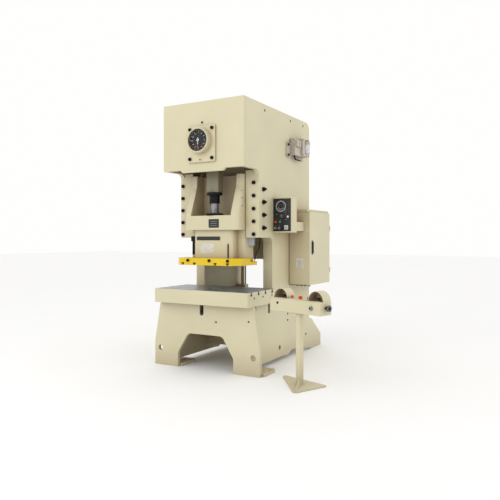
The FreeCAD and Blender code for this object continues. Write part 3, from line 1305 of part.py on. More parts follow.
def console():
    """The console box with a step along its front edge and a guard over each palm button."""
    half, depth = "console_length / 2", "console_depth / 2"
    profile = [(f"-{depth}", "console_bottom"), (depth, "console_bottom"), (depth, "console_top"),
               (f"-{depth} + 22", "console_top"), (f"-{depth} + 6", "console_top - 14"),
               (f"-{depth}", "console_top - 22")]
    body = plate("console_box", "YZ", (f"-{half}", half), profile)
    hoods = [guard(f"guard_{side}", f"{sign} * ({half} - guard_radius - guard_inset)", "console_top")
             for side, sign in SIDES]
    sockets = []
    for name, x, y, radius in CONSOLE_BUTTONS:
        sockets.append(rod(f"console_hole_{name}", "Z", (x, y), ("console_top - 40", "console_top + 1"),
                           f"{radius} + 0.3"))
    shell = cut("console_shell", join("console_joined", body, *hoods), *sockets)
    plugs = [rod("console_plug_left", "Y", (f"100 - {half}", "console_bottom + 78"),
                 (f"-{depth} - 6", f"-{depth}"), "11"),
             rod("console_plug_right", "Y", (f"{half} - 110", "console_bottom + 62"),
                 (f"-{depth} - 12", f"-{depth}"), "19")]
    knobs = []
    for side, sign in SIDES:
        span = (half, f"{half} + 34") if sign > 0 else (f"-{half} - 34", f"-{half}")
        cap = (f"{half} + 33", f"{half} + 46") if sign > 0 else (f"-{half} - 46", f"-{half} - 33")
        knobs.append(join(f"end_knob_{side}",
                          rod(f"end_stem_{side}", "X", ("0", "console_bottom + 66"), span, "13"),
                          rod(f"end_cap_{side}", "X", ("0", "console_bottom + 66"), cap, "30")))
    fittings = on_stand(group("console_fittings", *plugs, *knobs))
    return on_stand(group("console", shell)), fittings


# control, place along and across the console, radius of its stem
CONSOLE_BUTTONS = [
    ("left_palm_button", "guard_radius + guard_inset - console_length / 2", "8", 12),
    ("right_palm_button", "console_length / 2 - guard_radius - guard_inset", "8", 12),
    ("emergency_stop", "10", "0", 12),
    ("run_button", "-95", "0", 9),
    ("inch_button", "110", "0", 9),
]


def console_controls():
    """Palm buttons, emergency stop and two flush buttons, each on a stem in the console."""
    made = []
    for name, x, y, radius in CONSOLE_BUTTONS:
        wide = {"left_palm_button": "palm_radius", "right_palm_button": "palm_radius",
                "emergency_stop": "21"}.get(name, "12")
        stem = rod(name + "_stem", "Z", (x, y), ("console_top - 30", "console_top + 14"), str(radius))
        cap = rod(name + "_cap", "Z", (x, y), ("console_top + 12", "console_top + 30"), wide)
        made.append(on_stand(group(name, join(name + "_solid", stem, cap))))
    return made


# ---------------------------------------------------------------- the sub-parts

right_plate = side_plate()
dial_housing, dial_face, dial_glass, dial_pointer = dial()
cylinders, cylinder_rods = counterbalance()
panel_shell, panel_front = panel_box()
door, handle = cabinet_door()
blow_hose, hose_fittings = hose()
console_body, console_fittings = console()

NODES = [
    right_plate, flip("left_side_plate", right_plate), crown_front(), crown_cover(),
    group("bearing_walls", inner_wall("guide_back_wall", "back_plate_at", "throat_top"),
          inner_wall("rear_bearing_wall", "bearing_wall_at", "bearing_wall_bottom")),
    cheeks(), gibs(), lining(), bed_front(), bed_top(), cross_plates(), pads(),
    bolster(), frame_screws(), bolster_bolts(),
    bearings(), crankshaft(), strap(), main_gear(), pinion_shaft(), flywheel(), motor(), pulley(), belts(),
    cylinders, cylinder_rods,
    slide(), slide_plate(), slide_fittings(), slide_plates(), connecting_rod(), lock_nut(), adjusting_screw(),
    knockout(), dial_housing, dial_face, dial_glass, dial_pointer,
    panel_shell, panel_front, *panel_controls(), cabinet(), door, handle, valve_unit(), service_pipes(),
    blow_hose, hose_fittings, stand(), console_body, console_fittings, *console_controls(),
]

doc.recompute()
for item in doc.Objects:
    if "Invalid" in item.State or "Error" in item.State:
        raise RuntimeError(f"{item.Label} failed: {item.State}")
for node in NODES:
    if node.Shape.isNull() or not node.Shape.isValid():
        raise RuntimeError(f"{node.Label} has no valid shape")

os.makedirs("parts", exist_ok=True)
for node in NODES:
    node.Shape.exportStep(f"parts/{node.Label}.step")
print(f"{len(NODES)} sub-parts written")
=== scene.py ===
"""The looks of a gap-frame mechanical stamping press with its two-hand control stand.

Each CAD part keeps its shape and gets a procedural finish.  What its plain solid leaves out, such as the
dial's marks, the screw's thread, domed buttons, lamps, weld beads and the oil bowl, is a surface worked out
on a grid.  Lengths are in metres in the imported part's frame: +Z up, the operator at -Y, the operator's
right at +X.
"""

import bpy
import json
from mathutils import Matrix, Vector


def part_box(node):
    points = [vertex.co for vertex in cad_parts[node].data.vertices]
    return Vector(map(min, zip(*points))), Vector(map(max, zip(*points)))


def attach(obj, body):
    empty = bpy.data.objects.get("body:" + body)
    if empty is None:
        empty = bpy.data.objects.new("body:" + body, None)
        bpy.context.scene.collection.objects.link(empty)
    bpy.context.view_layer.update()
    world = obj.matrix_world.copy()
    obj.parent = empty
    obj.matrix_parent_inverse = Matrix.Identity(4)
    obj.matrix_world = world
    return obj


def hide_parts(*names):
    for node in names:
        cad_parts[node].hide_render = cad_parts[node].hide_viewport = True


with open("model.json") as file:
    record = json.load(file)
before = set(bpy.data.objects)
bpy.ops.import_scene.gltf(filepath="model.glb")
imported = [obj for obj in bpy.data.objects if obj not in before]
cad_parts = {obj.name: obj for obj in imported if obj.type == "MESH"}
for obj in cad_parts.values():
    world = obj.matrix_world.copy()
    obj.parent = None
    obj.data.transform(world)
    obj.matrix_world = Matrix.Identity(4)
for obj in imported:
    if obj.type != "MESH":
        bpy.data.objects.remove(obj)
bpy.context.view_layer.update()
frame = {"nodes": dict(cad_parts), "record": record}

import json
import math

import bmesh
import bpy
import numpy as np
from bpy.props import FloatProperty, FloatVectorProperty, IntProperty, PointerProperty
from mathutils import Vector

bl_info = {
    "name": "Stamping press finishes",
    "version": (1, 0, 0),
    "blender": (4, 5, 0),
    "location": "View3D > Sidebar > Press",
    "description": "Finishes and fine parts of a gap-frame stamping press",
    "category": "Object",
}

X = np.array([1.0, 0.0, 0.0])
Y = np.array([0.0, 1.0, 0.0])
Z = np.array([0.0, 0.0, 1.0])
FRONT = -Y
# Corners nearer than this are joined
SAME_POINT = 2e-6


def screen(red, green, blue):
    """A colour of the usual screen scale, 0 to 255, as linear light."""
    share = np.array([red, green, blue]) / 255
    return tuple(np.where(share > 0.04045, ((share + 0.055) / 1.055) ** 2.4, share / 12.92))


def shade(colour, factor):
    """A lighter or darker step of a colour."""
    return tuple(min(1.0, channel * factor) for channel in colour)


# -------------------------------------------------------------------------------- settings

def colour_choice(name, description, red, green, blue):
    """A colour that the user may change."""
    return FloatVectorProperty(name=name, description=description, subtype="COLOR", size=3, min=0, max=1,
                               default=screen(red, green, blue))


def length_choice(name, description, metres):
    """A length that the user may change."""
    return FloatProperty(name=name, description=description, default=metres, min=0, unit="LENGTH",
                         subtype="DISTANCE", precision=4)


class PressColours(bpy.types.PropertyGroup):
    """The paints, plastics and metals of the press."""
    cream: colour_choice("Frame enamel", "Cream enamel of the frame, slide and cabinets", 209, 201, 168)
    yellow: colour_choice("Slide plate", "Safety yellow of the slide plate", 226, 192, 4)
    rod: colour_choice("Connecting rod", "Grey green primer of the rod and strap", 134, 130, 104)
    grey_unit: colour_choice("Air unit", "Warm grey of the valve unit", 192, 183, 170)
    black: colour_choice("Black", "Black plastic and rubber", 18, 18, 20)
    panel: colour_choice("Panel", "Blue black film of the control panel", 20, 22, 26)
    red: colour_choice("Red", "Stop button and emergency stop", 205, 52, 22)
    green: colour_choice("Green", "Start button", 30, 148, 92)
    grey: colour_choice("Grey", "Grey plastic knobs", 120, 118, 118)
    white: colour_choice("White", "White plastic and printed marks", 226, 226, 222)
    steel: colour_choice("Ground steel", "Ground working faces", 172, 174, 176)
    oxide: colour_choice("Black oxide", "Oiled dark screws and nuts", 28, 26, 27)
    casting: colour_choice("Castings", "Grey iron of wheels and gears", 104, 104, 102)
    bronze: colour_choice("Bronze", "Bearing bronze", 176, 132, 72)


class PressSizes(bpy.types.PropertyGroup):
    """Sizes of the fine parts."""
    tick_long: length_choice("Long tick", "Dial tick at each numeral", 0.013)
    tick_short: length_choice("Short tick", "Dial tick between numerals", 0.007)
    numeral: length_choice("Numeral height", "Height of the dial's numerals", 0.0155)
    thread_pitch: length_choice("Thread pitch", "Pitch of the adjusting screw", 0.006)
    thread_depth: length_choice("Thread depth", "Depth of the adjusting screw's thread", 0.0032)
    bead: length_choice("Weld bead", "Radius of a weld bead", 0.0065)
    scale_step: length_choice("Weld scales", "Distance between the scales of a bead", 0.009)
    lamp_ring: length_choice("Lamp ring", "Radius of the panel's lamp ring", 0.055)
    lamp_count: IntProperty(name="Lamps", description="Lamps in the ring", default=24, min=4, max=60)
    hose: length_choice("Hose", "Diameter of the blow-off hose", 0.014)
    soft_edge: length_choice("Soft edge", "Rounding that the paint shows along an edge", 0.0035)


class PressStudio(bpy.types.PropertyGroup):
    """Camera and light."""
    eye: FloatVectorProperty(name="Camera", description="Place of the camera", size=3, subtype="TRANSLATION",
                             unit="LENGTH", default=(3.2816, -5.875, 1.3754))
    yaw: FloatProperty(name="Yaw", description="Turn of the view to the left of straight ahead",
                       subtype="ANGLE", default=math.radians(29.66))
    lens: FloatProperty(name="Lens", description="Focal length for a 36 mm wide picture", default=40.24,
                        min=1)
    sky: FloatProperty(name="Room", description="Brightness of the white room", default=1.0, min=0)
    key: FloatProperty(name="Key light", description="Power of the large light ahead", subtype="POWER",
                       default=70)
    fill: FloatProperty(name="Fill light", description="Power of the light on the right", subtype="POWER",
                        default=15)


def colours():
    """The scene's colours."""
    return bpy.context.scene.press_colours


def sizes():
    """The scene's sizes."""
    return bpy.context.scene.press_sizes


def studio():
    """The scene's camera and light."""
    return bpy.context.scene.press_studio


# -------------------------------------------------------------------------------- surfaces

def side_axes(axis):
    """Two directions that make a right-handed set with an axis."""
    axis = np.asarray(axis, float) / np.linalg.norm(axis)
    helper = Z if abs(axis[2]) < 0.9 else X
    across = np.cross(helper, axis)
    across /= np.linalg.norm(across)
    return across, np.cross(axis, across), axis


def grid_shell(points, loop_rows=False, loop_columns=True, lids=True):
    """Points on a grid of rows and columns, joined by quads.

    Row r and column c meet at point r * columns + c.  A looped direction joins its last line to its first,
    and lids close the first and the last row with one face each.
    """
    rows, columns = points.shape[:2]
    row, column = np.meshgrid(np.arange(rows if loop_rows else rows - 1),
                              np.arange(columns if loop_columns else columns - 1), indexing="ij")
    next_row, next_column = (row + 1) % rows, (column + 1) % columns
    quads = np.stack([row * columns + column, row * columns + next_column,
                      next_row * columns + next_column, next_row * columns + column], -1).reshape(-1, 4)
    faces = quads.tolist()
    if lids and not loop_rows:
        faces.append(list(range(columns))[::-1])
        faces.append(list(range((rows - 1) * columns, rows * columns)))
    return points.reshape(-1, 3), faces


def turned(centre, axis, profile, sides=48, ring=False):
    """A surface of revolution.

    The profile lists (radius, distance along the axis), and a point is centre + distance * axis + radius *
    (cos t * across + sin t * up) for t round the circle.  A ring's profile closes on itself.
    """
    across, up, along = side_axes(axis)
    profile = np.asarray(profile, float)
    t = np.linspace(0, 2 * np.pi, sides, endpoint=False)
    circle = np.cos(t)[:, None] * across + np.sin(t)[:, None] * up
    points = (np.asarray(centre, float) + profile[:, 1, None, None] * along
              + profile[:, 0, None, None] * circle[None, :, :])
    return grid_shell(points, loop_rows=ring)


def quarter(radius, high, corner, steps=5):
    """Profile points of a rounded corner: (radius, high) - corner + corner * (cos a, sin a)."""
    a = np.linspace(0, np.pi / 2, steps)
    return list(zip(radius - corner + corner * np.cos(a), high - corner + corner * np.sin(a)))


def dome(radius, low, high, steps=8):
    """Profile points of a shallow dome: a quarter of an ellipse from its edge to its pole."""
    a = np.linspace(0, np.pi / 2, steps)
    return list(zip(radius * np.cos(a), low + (high - low) * np.sin(a)))


def head(place, axis, radius, foot, shoulder, top, sides=32, steps=8):
    """A round head: a wall from its foot to its shoulder, then a dome up to its top."""
    return turned(place, axis, [(radius, foot)] + dome(radius, shoulder, top, steps), sides)


def washer(centre, axis, inner, outer, thick, corner=0.0006, sides=48):
    """A flat ring that stands on centre, with both front edges rounded."""
    corner = min(corner, 0.45 * (outer - inner), 0.9 * thick)
    outside = quarter(outer, thick, corner, 4)
    a = np.linspace(np.pi / 2, np.pi, 4)
    inside = list(zip(inner + corner + corner * np.cos(a), thick - corner + corner * np.sin(a)))
    return turned(centre, axis, [(outer, 0)] + outside + inside + [(inner, 0)], sides, ring=True)


def rectangle(half_across, half_up, corner, steps=5):
    """Points round a rectangle with quarter-circle corners, anticlockwise, as (across, up)."""
    angles = np.linspace(0, np.pi / 2, steps)[None, :] + np.arange(4)[:, None] * np.pi / 2
    across = np.array([1, -1, -1, 1])[:, None] * (half_across - corner) + corner * np.cos(angles)
    up = np.array([1, 1, -1, -1])[:, None] * (half_up - corner) + corner * np.sin(angles)
    return np.stack([across.ravel(), up.ravel()], -1)


def slab(centre, across, up, half_across, half_up, thick, corner=0.003, edge=0.0008):
    """A plate that stands on centre, raised along across x up.

    Each row is the rounded rectangle drawn in by the inset of a quarter-circle edge, so that the plate's
    front edge is round: inset = edge * (1 - cos a), height = thick - edge + edge * sin a.
    """
    across, up = np.asarray(across, float), np.asarray(up, float)
    out = np.cross(across, up)
    a = np.linspace(0, np.pi / 2, 4)
    insets = np.concatenate([[0.0], edge * (1 - np.cos(a))])
    heights = np.concatenate([[0.0], thick - edge + edge * np.sin(a)])
    rings = np.stack([rectangle(half_across - inset, half_up - inset, max(corner - inset, 1e-5))
                      for inset in insets])
    points = (np.asarray(centre, float) + rings[:, :, 0, None] * across + rings[:, :, 1, None] * up
              + heights[:, None, None] * out)
    return grid_shell(points)


def bead(start, end, sides=10):
    """A weld bead between two points.

    A tube whose radius is r * (0.9 + 0.16 * |sin(pi s / step)|), with s along the seam, which gives
    overlapping scales.  Its ends taper.
    """
    start, end = np.asarray(start, float), np.asarray(end, float)
    length = np.linalg.norm(end - start)
    across, up, along = side_axes(end - start)
    count = max(12, int(length / sizes().scale_step * 5))
    s = np.linspace(0, length, count)
    radius = sizes().bead * (0.9 + 0.16 * np.abs(np.sin(np.pi * s / sizes().scale_step)))
    radius[[0, -1]] *= 0.35
    t = np.linspace(0, 2 * np.pi, sides, endpoint=False)
    circle = np.cos(t)[:, None] * across + np.sin(t)[:, None] * up
    return grid_shell(start + s[:, None, None] * along + radius[:, None, None] * circle[None])


def tube(path, radius, sides=12):
    """A round tube along points: each row is a circle square to the path's direction there."""
    path = np.asarray(path, float)
    heading = np.gradient(path, axis=0)
    heading /= np.linalg.norm(heading, axis=1)[:, None]
    helper = Z if abs(heading[0, 2]) < 0.8 else X
    across = np.cross(helper, heading)
    across /= np.linalg.norm(across, axis=1)[:, None]
    up = np.cross(heading, across)
    t = np.linspace(0, 2 * np.pi, sides, endpoint=False)
    circle = np.cos(t)[None, :, None] * across[:, None] + np.sin(t)[None, :, None] * up[:, None]
    return grid_shell(path[:, None] + radius * circle)


def blocks(centres, across, up, half_across, half_up, thick):
    """Many small blocks at once, each raised from its centre along its own across x up."""
    out = np.cross(across, up)
    corner_across = np.array([-1, 1, 1, -1, -1, 1, 1, -1])
    corner_up = np.array([-1, -1, 1, 1, -1, -1, 1, 1])
    corner_out = np.array([0, 0, 0, 0, 1, 1, 1, 1])
    points = (centres[:, None] + (corner_across[None] * half_across[:, None])[..., None] * across[:, None]
              + (corner_up[None] * half_up[:, None])[..., None] * up[:, None]
              + (corner_out * thick)[None, :, None] * out[:, None])
    faces = np.array([[3, 2, 1, 0], [4, 5, 6, 7], [0, 1, 5, 4], [1, 2, 6, 5], [2, 3, 7, 6], [3, 0, 4, 7]])
    numbers = faces[None] + 8 * np.arange(len(centres))[:, None, None]
    return points.reshape(-1, 3), numbers.reshape(-1, 4).tolist()


def piece(name, shells, finish, body, slot=None, crease=35, stands_for=()):
    """One object from shells, its place in its mesh, smooth but for edges sharper than crease degrees."""
    points = np.concatenate([shell[0] for shell in shells])
    starts = np.cumsum([0] + [len(shell[0]) for shell in shells])
    faces = [[number + int(first) for number in face]
             for first, shell in zip(starts, shells) for face in shell[1]]
    mesh = bpy.data.meshes.new(name)
    mesh.from_pydata(points, [], faces)
    mesh.validate()
    work = bmesh.new()
    work.from_mesh(mesh)
    bmesh.ops.remove_doubles(work, verts=work.verts, dist=SAME_POINT)
    work.to_mesh(mesh)
    work.free()
    mesh.shade_smooth()
    mesh.set_sharp_from_angle(angle=math.radians(crease))
    item = bpy.data.objects.new(name, mesh)
    bpy.context.scene.collection.objects.link(item)
    mesh.materials.append(material(finish))
    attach(item, body)
    if stands_for:
        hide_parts(*stands_for)
    return item


def fixed(name, shells, finish, slot=None, **rest):
    """One object on the still frame.  Its slot argument is passed on but not used."""
    return piece(name, shells, finish, "frame", slot or finish, **rest)


def middle(node):
    """The centre of a CAD node's box."""
    low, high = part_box(node)
    return (np.array(low) + np.array(high)) / 2


def solids(node):
    """The boxes of a CAD node's separate solids, found by joining its triangles where they share a corner."""
    work = bmesh.new()
    work.from_mesh(frame["nodes"][node].data)
    bmesh.ops.remove_doubles(work, verts=work.verts, dist=1e-5)
    left, found = set(work.verts), []
    while left:
        front, island = [left.pop()], []
        while front:
            corner = front.pop()
            island.append(corner.co.copy())
            for edge in corner.link_edges:
                other = edge.other_vert(corner)
                if other in left:
                    left.remove(other)
                    front.append(other)
        island = np.array(island)
        found.append((island.min(0), island.max(0)))
    work.free()
    return sorted(found, key=lambda box: tuple(box[0]))


# -------------------------------------------------------------------------------- finishes

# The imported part's own plain materials have the names of its slots, so each finish's name starts with this
PREFIX = "press_"


def material(name):
    """The finish of that name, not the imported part's plain material."""
    return bpy.data.materials[PREFIX + name]


class Recipe:
    """A material in the making: one Principled shader and what feeds it."""

    def __init__(self, name):
        self.material = bpy.data.materials.new(PREFIX + name)
        self.material.use_nodes = True
        self.tree = self.material.node_tree
        self.tree.nodes.clear()
        self.shader = self.add("ShaderNodeBsdfPrincipled")
        self.add("ShaderNodeOutputMaterial", {"Surface": self.shader.outputs["BSDF"]})
        self.place = self.add("ShaderNodeTexCoord").outputs["Object"]
        self.axes = self.add("ShaderNodeSeparateXYZ", {0: self.place}).outputs

    def add(self, kind, inputs=None, **settings):
        """A node with its settings, and its inputs linked or set."""
        node = self.tree.nodes.new(kind)
        for key, value in settings.items():
            setattr(node, key, value)
        for key, value in (inputs or {}).items():
            self.feed(node.inputs[key], value)
        return node

    def feed(self, socket, value):
        """Link a value to a socket, or set it there."""
        if isinstance(value, bpy.types.NodeSocket):
            self.tree.links.new(value, socket)
        else:
            socket.default_value = value

    def noise(self, size, detail=2.0, stretch=(1, 1, 1)):
        """Soft noise whose blotches are about size metres wide, stretched along the axes."""
        scale = [1 / share for share in stretch]
        place = self.add("ShaderNodeMapping", {"Vector": self.place, "Scale": scale})
        inputs = {"Vector": place.outputs[0], "Scale": 1 / size, "Detail": detail}
        return self.add("ShaderNodeTexNoise", inputs).outputs["Fac"]

    def span(self, value, low, high, at_low=0.0, at_high=1.0):
        """A value mapped from one span to another, and kept inside it."""
        return self.add("ShaderNodeMapRange", {0: value, 1: low, 2: high, 3: at_low, 4: at_high}).outputs[0]

    def sum_of(self, kind, first, second):
        """One step of arithmetic, its result kept between nought and one."""
        return self.add("ShaderNodeMath", {0: first, 1: second}, operation=kind, use_clamp=True).outputs[0]

    def inside(self, axis, low, high):
        """One where a coordinate lies between low and high, or else nought."""
        over = self.add("ShaderNodeMath", {0: self.axes[axis], 1: low}, operation="GREATER_THAN").outputs[0]
        under = self.add("ShaderNodeMath", {0: self.axes[axis], 1: high}, operation="LESS_THAN").outputs[0]
        return self.sum_of("MULTIPLY", over, under)

    def blend(self, share, first, second):
        """A colour between two, by share."""
        node = self.add("ShaderNodeMix", data_type="RGBA")
        self.feed(node.inputs[0], share)
        for key, value in ((6, first), (7, second)):
            self.feed(node.inputs[key], value if isinstance(value, bpy.types.NodeSocket) else (*value, 1))
        return node.outputs[2]

    def tint(self, tone, share, amount, colour):
        """A tone drawn toward a colour by an amount of a share."""
        return self.blend(self.sum_of("MULTIPLY", share, amount), tone, colour)

    def between(self, share, first, second):
        """A number between two, by share."""
        return self.add("ShaderNodeMix", {0: share, 2: first, 3: second}).outputs[0]

    def edges(self, radius):
        """A rounded normal, and how far it leans from the true one: near one on a sharp edge."""
        soft = self.add("ShaderNodeBevel", {"Radius": radius}, samples=6).outputs[0]
        true = self.add("ShaderNodeNewGeometry").outputs["Normal"]
        alike = self.add("ShaderNodeVectorMath", {0: soft, 1: true}, operation="DOT_PRODUCT").outputs["Value"]
        return soft, self.span(alike, 0.995, 0.85)

    def corners(self, reach):
        """Near one deep in a corner or a slot, where the enamel gets painted shade."""
        open_share = self.add("ShaderNodeAmbientOcclusion", {"Distance": reach}, samples=6).outputs["AO"]
        return self.span(open_share, 0.75, 0.15)

    def raised(self, height, strength, depth, normal=None):
        """A normal that leans with a height, on top of another normal."""
        inputs = {"Height": height, "Strength": strength, "Distance": depth}
        if normal is not None:
            inputs["Normal"] = normal
        return self.add("ShaderNodeBump", inputs).outputs[0]

    def done(self, colour, roughness, normal=None, metal=0.0, **fixed):
        """Connect the shader's inputs; fixed numbers stay on its own sockets."""
        inputs = {"Base Color": colour, "Roughness": roughness, "Normal": normal, "Metallic": metal, **fixed}
        for key, value in inputs.items():
            key = key.replace("_", " ")
            if key.endswith("Color") and not isinstance(value, bpy.types.NodeSocket):
                value = (*value[:3], 1)
            if value is not None:
                self.feed(self.shader.inputs[key], value)
        return self.material


# What painted shade leaves of a paint's red, green and blue, deep inside the press and in a corner
DEEP_PAINTED_SHADE = (0.44, 0.29, 0.22)
CORNER_PAINTED_SHADE = (0.45, 0.38, 0.28)


def enamel_parts(recipe, colour, gloss):
    """Colour, roughness and normal of sprayed enamel: clouds, orange peel, a painted highlight on its edges
    and painted shade in its corners and hollows.
    """
    cloud = recipe.noise(0.55, 3)
    tone = recipe.blend(recipe.span(cloud, 0.3, 0.7), shade(colour, 0.955), shade(colour, 1.03))
    speck = recipe.span(recipe.noise(0.012, 4), 0.35, 0.3)
    tone = recipe.tint(tone, speck, 0.10, shade(colour, 0.55))
    soft, edge = recipe.edges(sizes().soft_edge)
    # Painted shade: ambient occlusion darkens the paint toward brown deep inside the press and in corners and
    # slots
    tone = recipe.tint(tone, recipe.corners(0.5), 0.72, tuple(np.array(colour) * DEEP_PAINTED_SHADE))
    tone = recipe.tint(tone, recipe.corners(0.045), 0.45, tuple(np.array(colour) * CORNER_PAINTED_SHADE))
    # Painted highlight: the paint is lightened along sharp edges
    tone = recipe.tint(tone, edge, 0.35, shade(colour, 1.22))
    low_down = recipe.span(recipe.axes[2], 0.0, 0.22, 0.35, 0.0)
    tone = recipe.tint(tone, low_down, recipe.span(cloud, 0.25, 0.6), screen(168, 156, 134))
    rough = recipe.span(recipe.noise(0.14, 3), 0.25, 0.75, gloss - 0.05, gloss + 0.09)
    normal = recipe.raised(recipe.noise(0.0035, 2), 0.10, 0.0005, soft)
    return tone, rough, normal


def enamel(name, colour, gloss=0.42):
    """Sprayed enamel all over."""
    recipe = Recipe(name)
    tone, rough, normal = enamel_parts(recipe, colour, gloss)
    return recipe.done(tone, rough, normal)


def ground_parts(recipe, colour, rough, stretch):
    """Colour, roughness and normal of ground steel: fine lines one way, soft stains and bright edges."""
    lines = recipe.noise(0.0012, 3, stretch)
    stain = recipe.noise(0.11, 4)
    tone = recipe.blend(recipe.span(stain, 0.3, 0.72), shade(colour, 0.72), shade(colour, 1.08))
    tone = recipe.blend(recipe.span(lines, 0.35, 0.65, 0.0, 0.35), tone, shade(colour, 0.62))
    soft, edge = recipe.edges(0.0012)
    tone = recipe.tint(tone, edge, 0.4, shade(colour, 1.35))
    roughness = recipe.span(lines, 0.3, 0.7, rough - 0.06, rough + 0.12)
    return tone, roughness, recipe.raised(lines, 0.25, 0.0003, soft)


def metal(name, colour, rough=0.32, stretch=(60, 1, 1), metallic=0.9):
    """Ground metal all over."""
    recipe = Recipe(name)
    tone, roughness, normal = ground_parts(recipe, colour, rough, stretch)
    return recipe.done(tone, roughness, normal, metallic)


def part_painted(name, colour, bare_share, stretch=(60, 1, 1), gloss=0.42, rough=0.33):
    """Enamel outside and ground steel where bare_share says so."""
    recipe = Recipe(name)
    paint, paint_rough, paint_normal = enamel_parts(recipe, colour, gloss)
    steel, steel_rough, steel_normal = ground_parts(recipe, colours().steel, rough, stretch)
    bare = bare_share(recipe)
    normal = recipe.add("ShaderNodeMix", data_type="VECTOR")
    for key, socket in ((0, bare), (4, paint_normal), (5, steel_normal)):
        recipe.tree.links.new(socket, normal.inputs[key])
    return recipe.done(recipe.blend(bare, paint, steel), recipe.between(bare, paint_rough, steel_rough),
                       normal.outputs[1], recipe.between(bare, 0.0, 0.8))


def moulded(name, colour, rough=0.38, grain=0.0012, **fixed):
    """Moulded plastic or rubber: a fine grain, slight clouding and paler edges."""
    recipe = Recipe(name)
    cloud = recipe.noise(0.03, 3)
    tone = recipe.blend(recipe.span(cloud, 0.3, 0.7), shade(colour, 0.88), shade(colour, 1.12))
    soft, edge = recipe.edges(0.0008)
    pale = tuple(np.clip(np.array(colour) * 1.3 + 0.03, 0, 1))
    tone = recipe.tint(tone, edge, 0.3, pale)
    roughness = recipe.span(cloud, 0.25, 0.75, rough - 0.05, rough + 0.1)
    return recipe.done(tone, roughness, recipe.raised(recipe.noise(grain, 2), 0.12, 0.0003, soft), **fixed)


def outside_of(low, high, margin):
    """The share of a block that is bare: everything more than margin inside its four upright faces."""
    def share(recipe):
        return recipe.sum_of("MULTIPLY", recipe.inside(0, low[0] + margin, high[0] - margin),
                             recipe.inside(1, low[1] + margin, high[1] - margin))
    return share


class PRESS_OT_mix_finishes(bpy.types.Operator):
    """Make every paint, plastic and metal finish"""
    bl_idname = "press.mix_finishes"
    bl_label = "Mix finishes"

    def execute(self, context):
        c = colours()
        enamel("cream_paint", c.cream)
        enamel("rod_paint", c.rod, 0.5)
        enamel("valve_paint", c.grey_unit, 0.55)
        part_painted("bolster_finish", c.cream, outside_of(*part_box("bolster"), 0.0006), (60, 1, 1))
        part_painted("slide_finish", c.cream, self.guide_rails, (1, 1, 60))
        part_painted("slide_plate_finish", c.yellow, self.working_face, (60, 1, 1), gloss=0.36)
        metal("ground_steel", c.steel, 0.26, (1, 1, 50))
        metal("bright_steel", shade(c.steel, 1.2), 0.2, (1, 1, 4))
        metal("dark_steel", c.oxide, 0.42, (1, 1, 1), 0.75)
        metal("cast_parts", c.casting, 0.5, (3, 1, 3), 0.55)
        metal("bronze", c.bronze, 0.3, (1, 40, 1))
        metal("chrome_plate", screen(208, 210, 214), 0.14, (1, 1, 1), 1.0)
        metal("plate_metal", screen(196, 194, 186), 0.34, (50, 1, 1), 0.6)
        moulded("black_plastic", c.black, 0.34)
        moulded("black_rubber", c.black, 0.62, 0.002)
        moulded("black_panel", c.panel, 0.22, 0.0008)
        moulded("dial_black", screen(20, 20, 24), 0.5, 0.0006)
        moulded("red_plastic", c.red, 0.28)
        moulded("green_plastic", c.green, 0.26)
        moulded("grey_plastic", c.grey, 0.4)
        moulded("white_plastic", c.white, 0.4)
        moulded("dark_plate", screen(34, 33, 32), 0.4, 0.001)
        moulded("pale_label", screen(208, 205, 198), 0.45, 0.001)
        moulded("smoked_window", screen(16, 12, 18), 0.08, 0.002)
        moulded("oil_bowl_clear", screen(206, 208, 212), 0.1, 0.004)
        moulded("lamp_green", screen(70, 190, 130), 0.2, 0.001, Emission_Color=screen(80, 255, 170),
                Emission_Strength=0.2)
        moulded("lamp_pale", screen(150, 146, 152), 0.25, 0.001)
        self.pointer(c)
        self.glass()
        return {"FINISHED"}

    @staticmethod
    def guide_rails(recipe):
        """The slide's two guide rails are bare."""
        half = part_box("slide")[1][0] - 0.0495
        return recipe.sum_of("SUBTRACT", 1.0, recipe.inside(0, -half, half))

    @staticmethod
    def working_face(recipe):
        """The slide plate's underside and its slots are bare."""
        low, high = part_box("slide_plate")
        return recipe.sum_of("MULTIPLY", recipe.inside(2, low[2] - 1, low[2] + 0.0012),
                             recipe.inside(1, low[1] + 0.001, high[1]))

    @staticmethod
    def pointer(c):
        """The dial's hand: white, with a red end."""
        recipe = Recipe("pointer_paint")
        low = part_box("dial_pointer")[0]
        soft, edge = recipe.edges(0.0006)
        tone = recipe.blend(recipe.inside(2, low[2], low[2] + 0.045), c.white, c.red)
        tone = recipe.tint(tone, edge, 0.3, (0.9, 0.9, 0.88))
        recipe.done(tone, recipe.span(recipe.noise(0.01, 2), 0.3, 0.7, 0.3, 0.42), soft)

    @staticmethod
    def glass():
        """Thin clear glass: a dark body that hardly covers, with a faint smear of dust in its gloss."""
        recipe = Recipe("clear_glass")
        smear = recipe.noise(0.035, 4)
        recipe.done((0.02, 0.02, 0.025), recipe.span(smear, 0.3, 0.7, 0.04, 0.12), Alpha=0.06)


# CAD node: finish.  A node that isn't listed takes the finish named like its material slot.
OWN_FINISHES = {"bolster": "bolster_finish", "slide": "slide_finish", "slide_plate": "slide_plate_finish",
                "slide_nameplates": "dark_plate", "hose_fittings": "dark_steel"}


class PRESS_OT_paint_cad(bpy.types.Operator):
    """Give every CAD node its finish"""
    bl_idname = "press.paint_cad"
    bl_label = "Paint the CAD nodes"

    def execute(self, context):
        slots = {part["node"]: part["material_slot"] for part in frame["record"]["subparts"]}
        for node, item in frame["nodes"].items():
            finish = OWN_FINISHES.get(node, slots[node])
            item.data.materials.clear()
            item.data.materials.append(material(finish))
        return {"FINISHED"}


# -------------------------------------------------------------------------------- stage

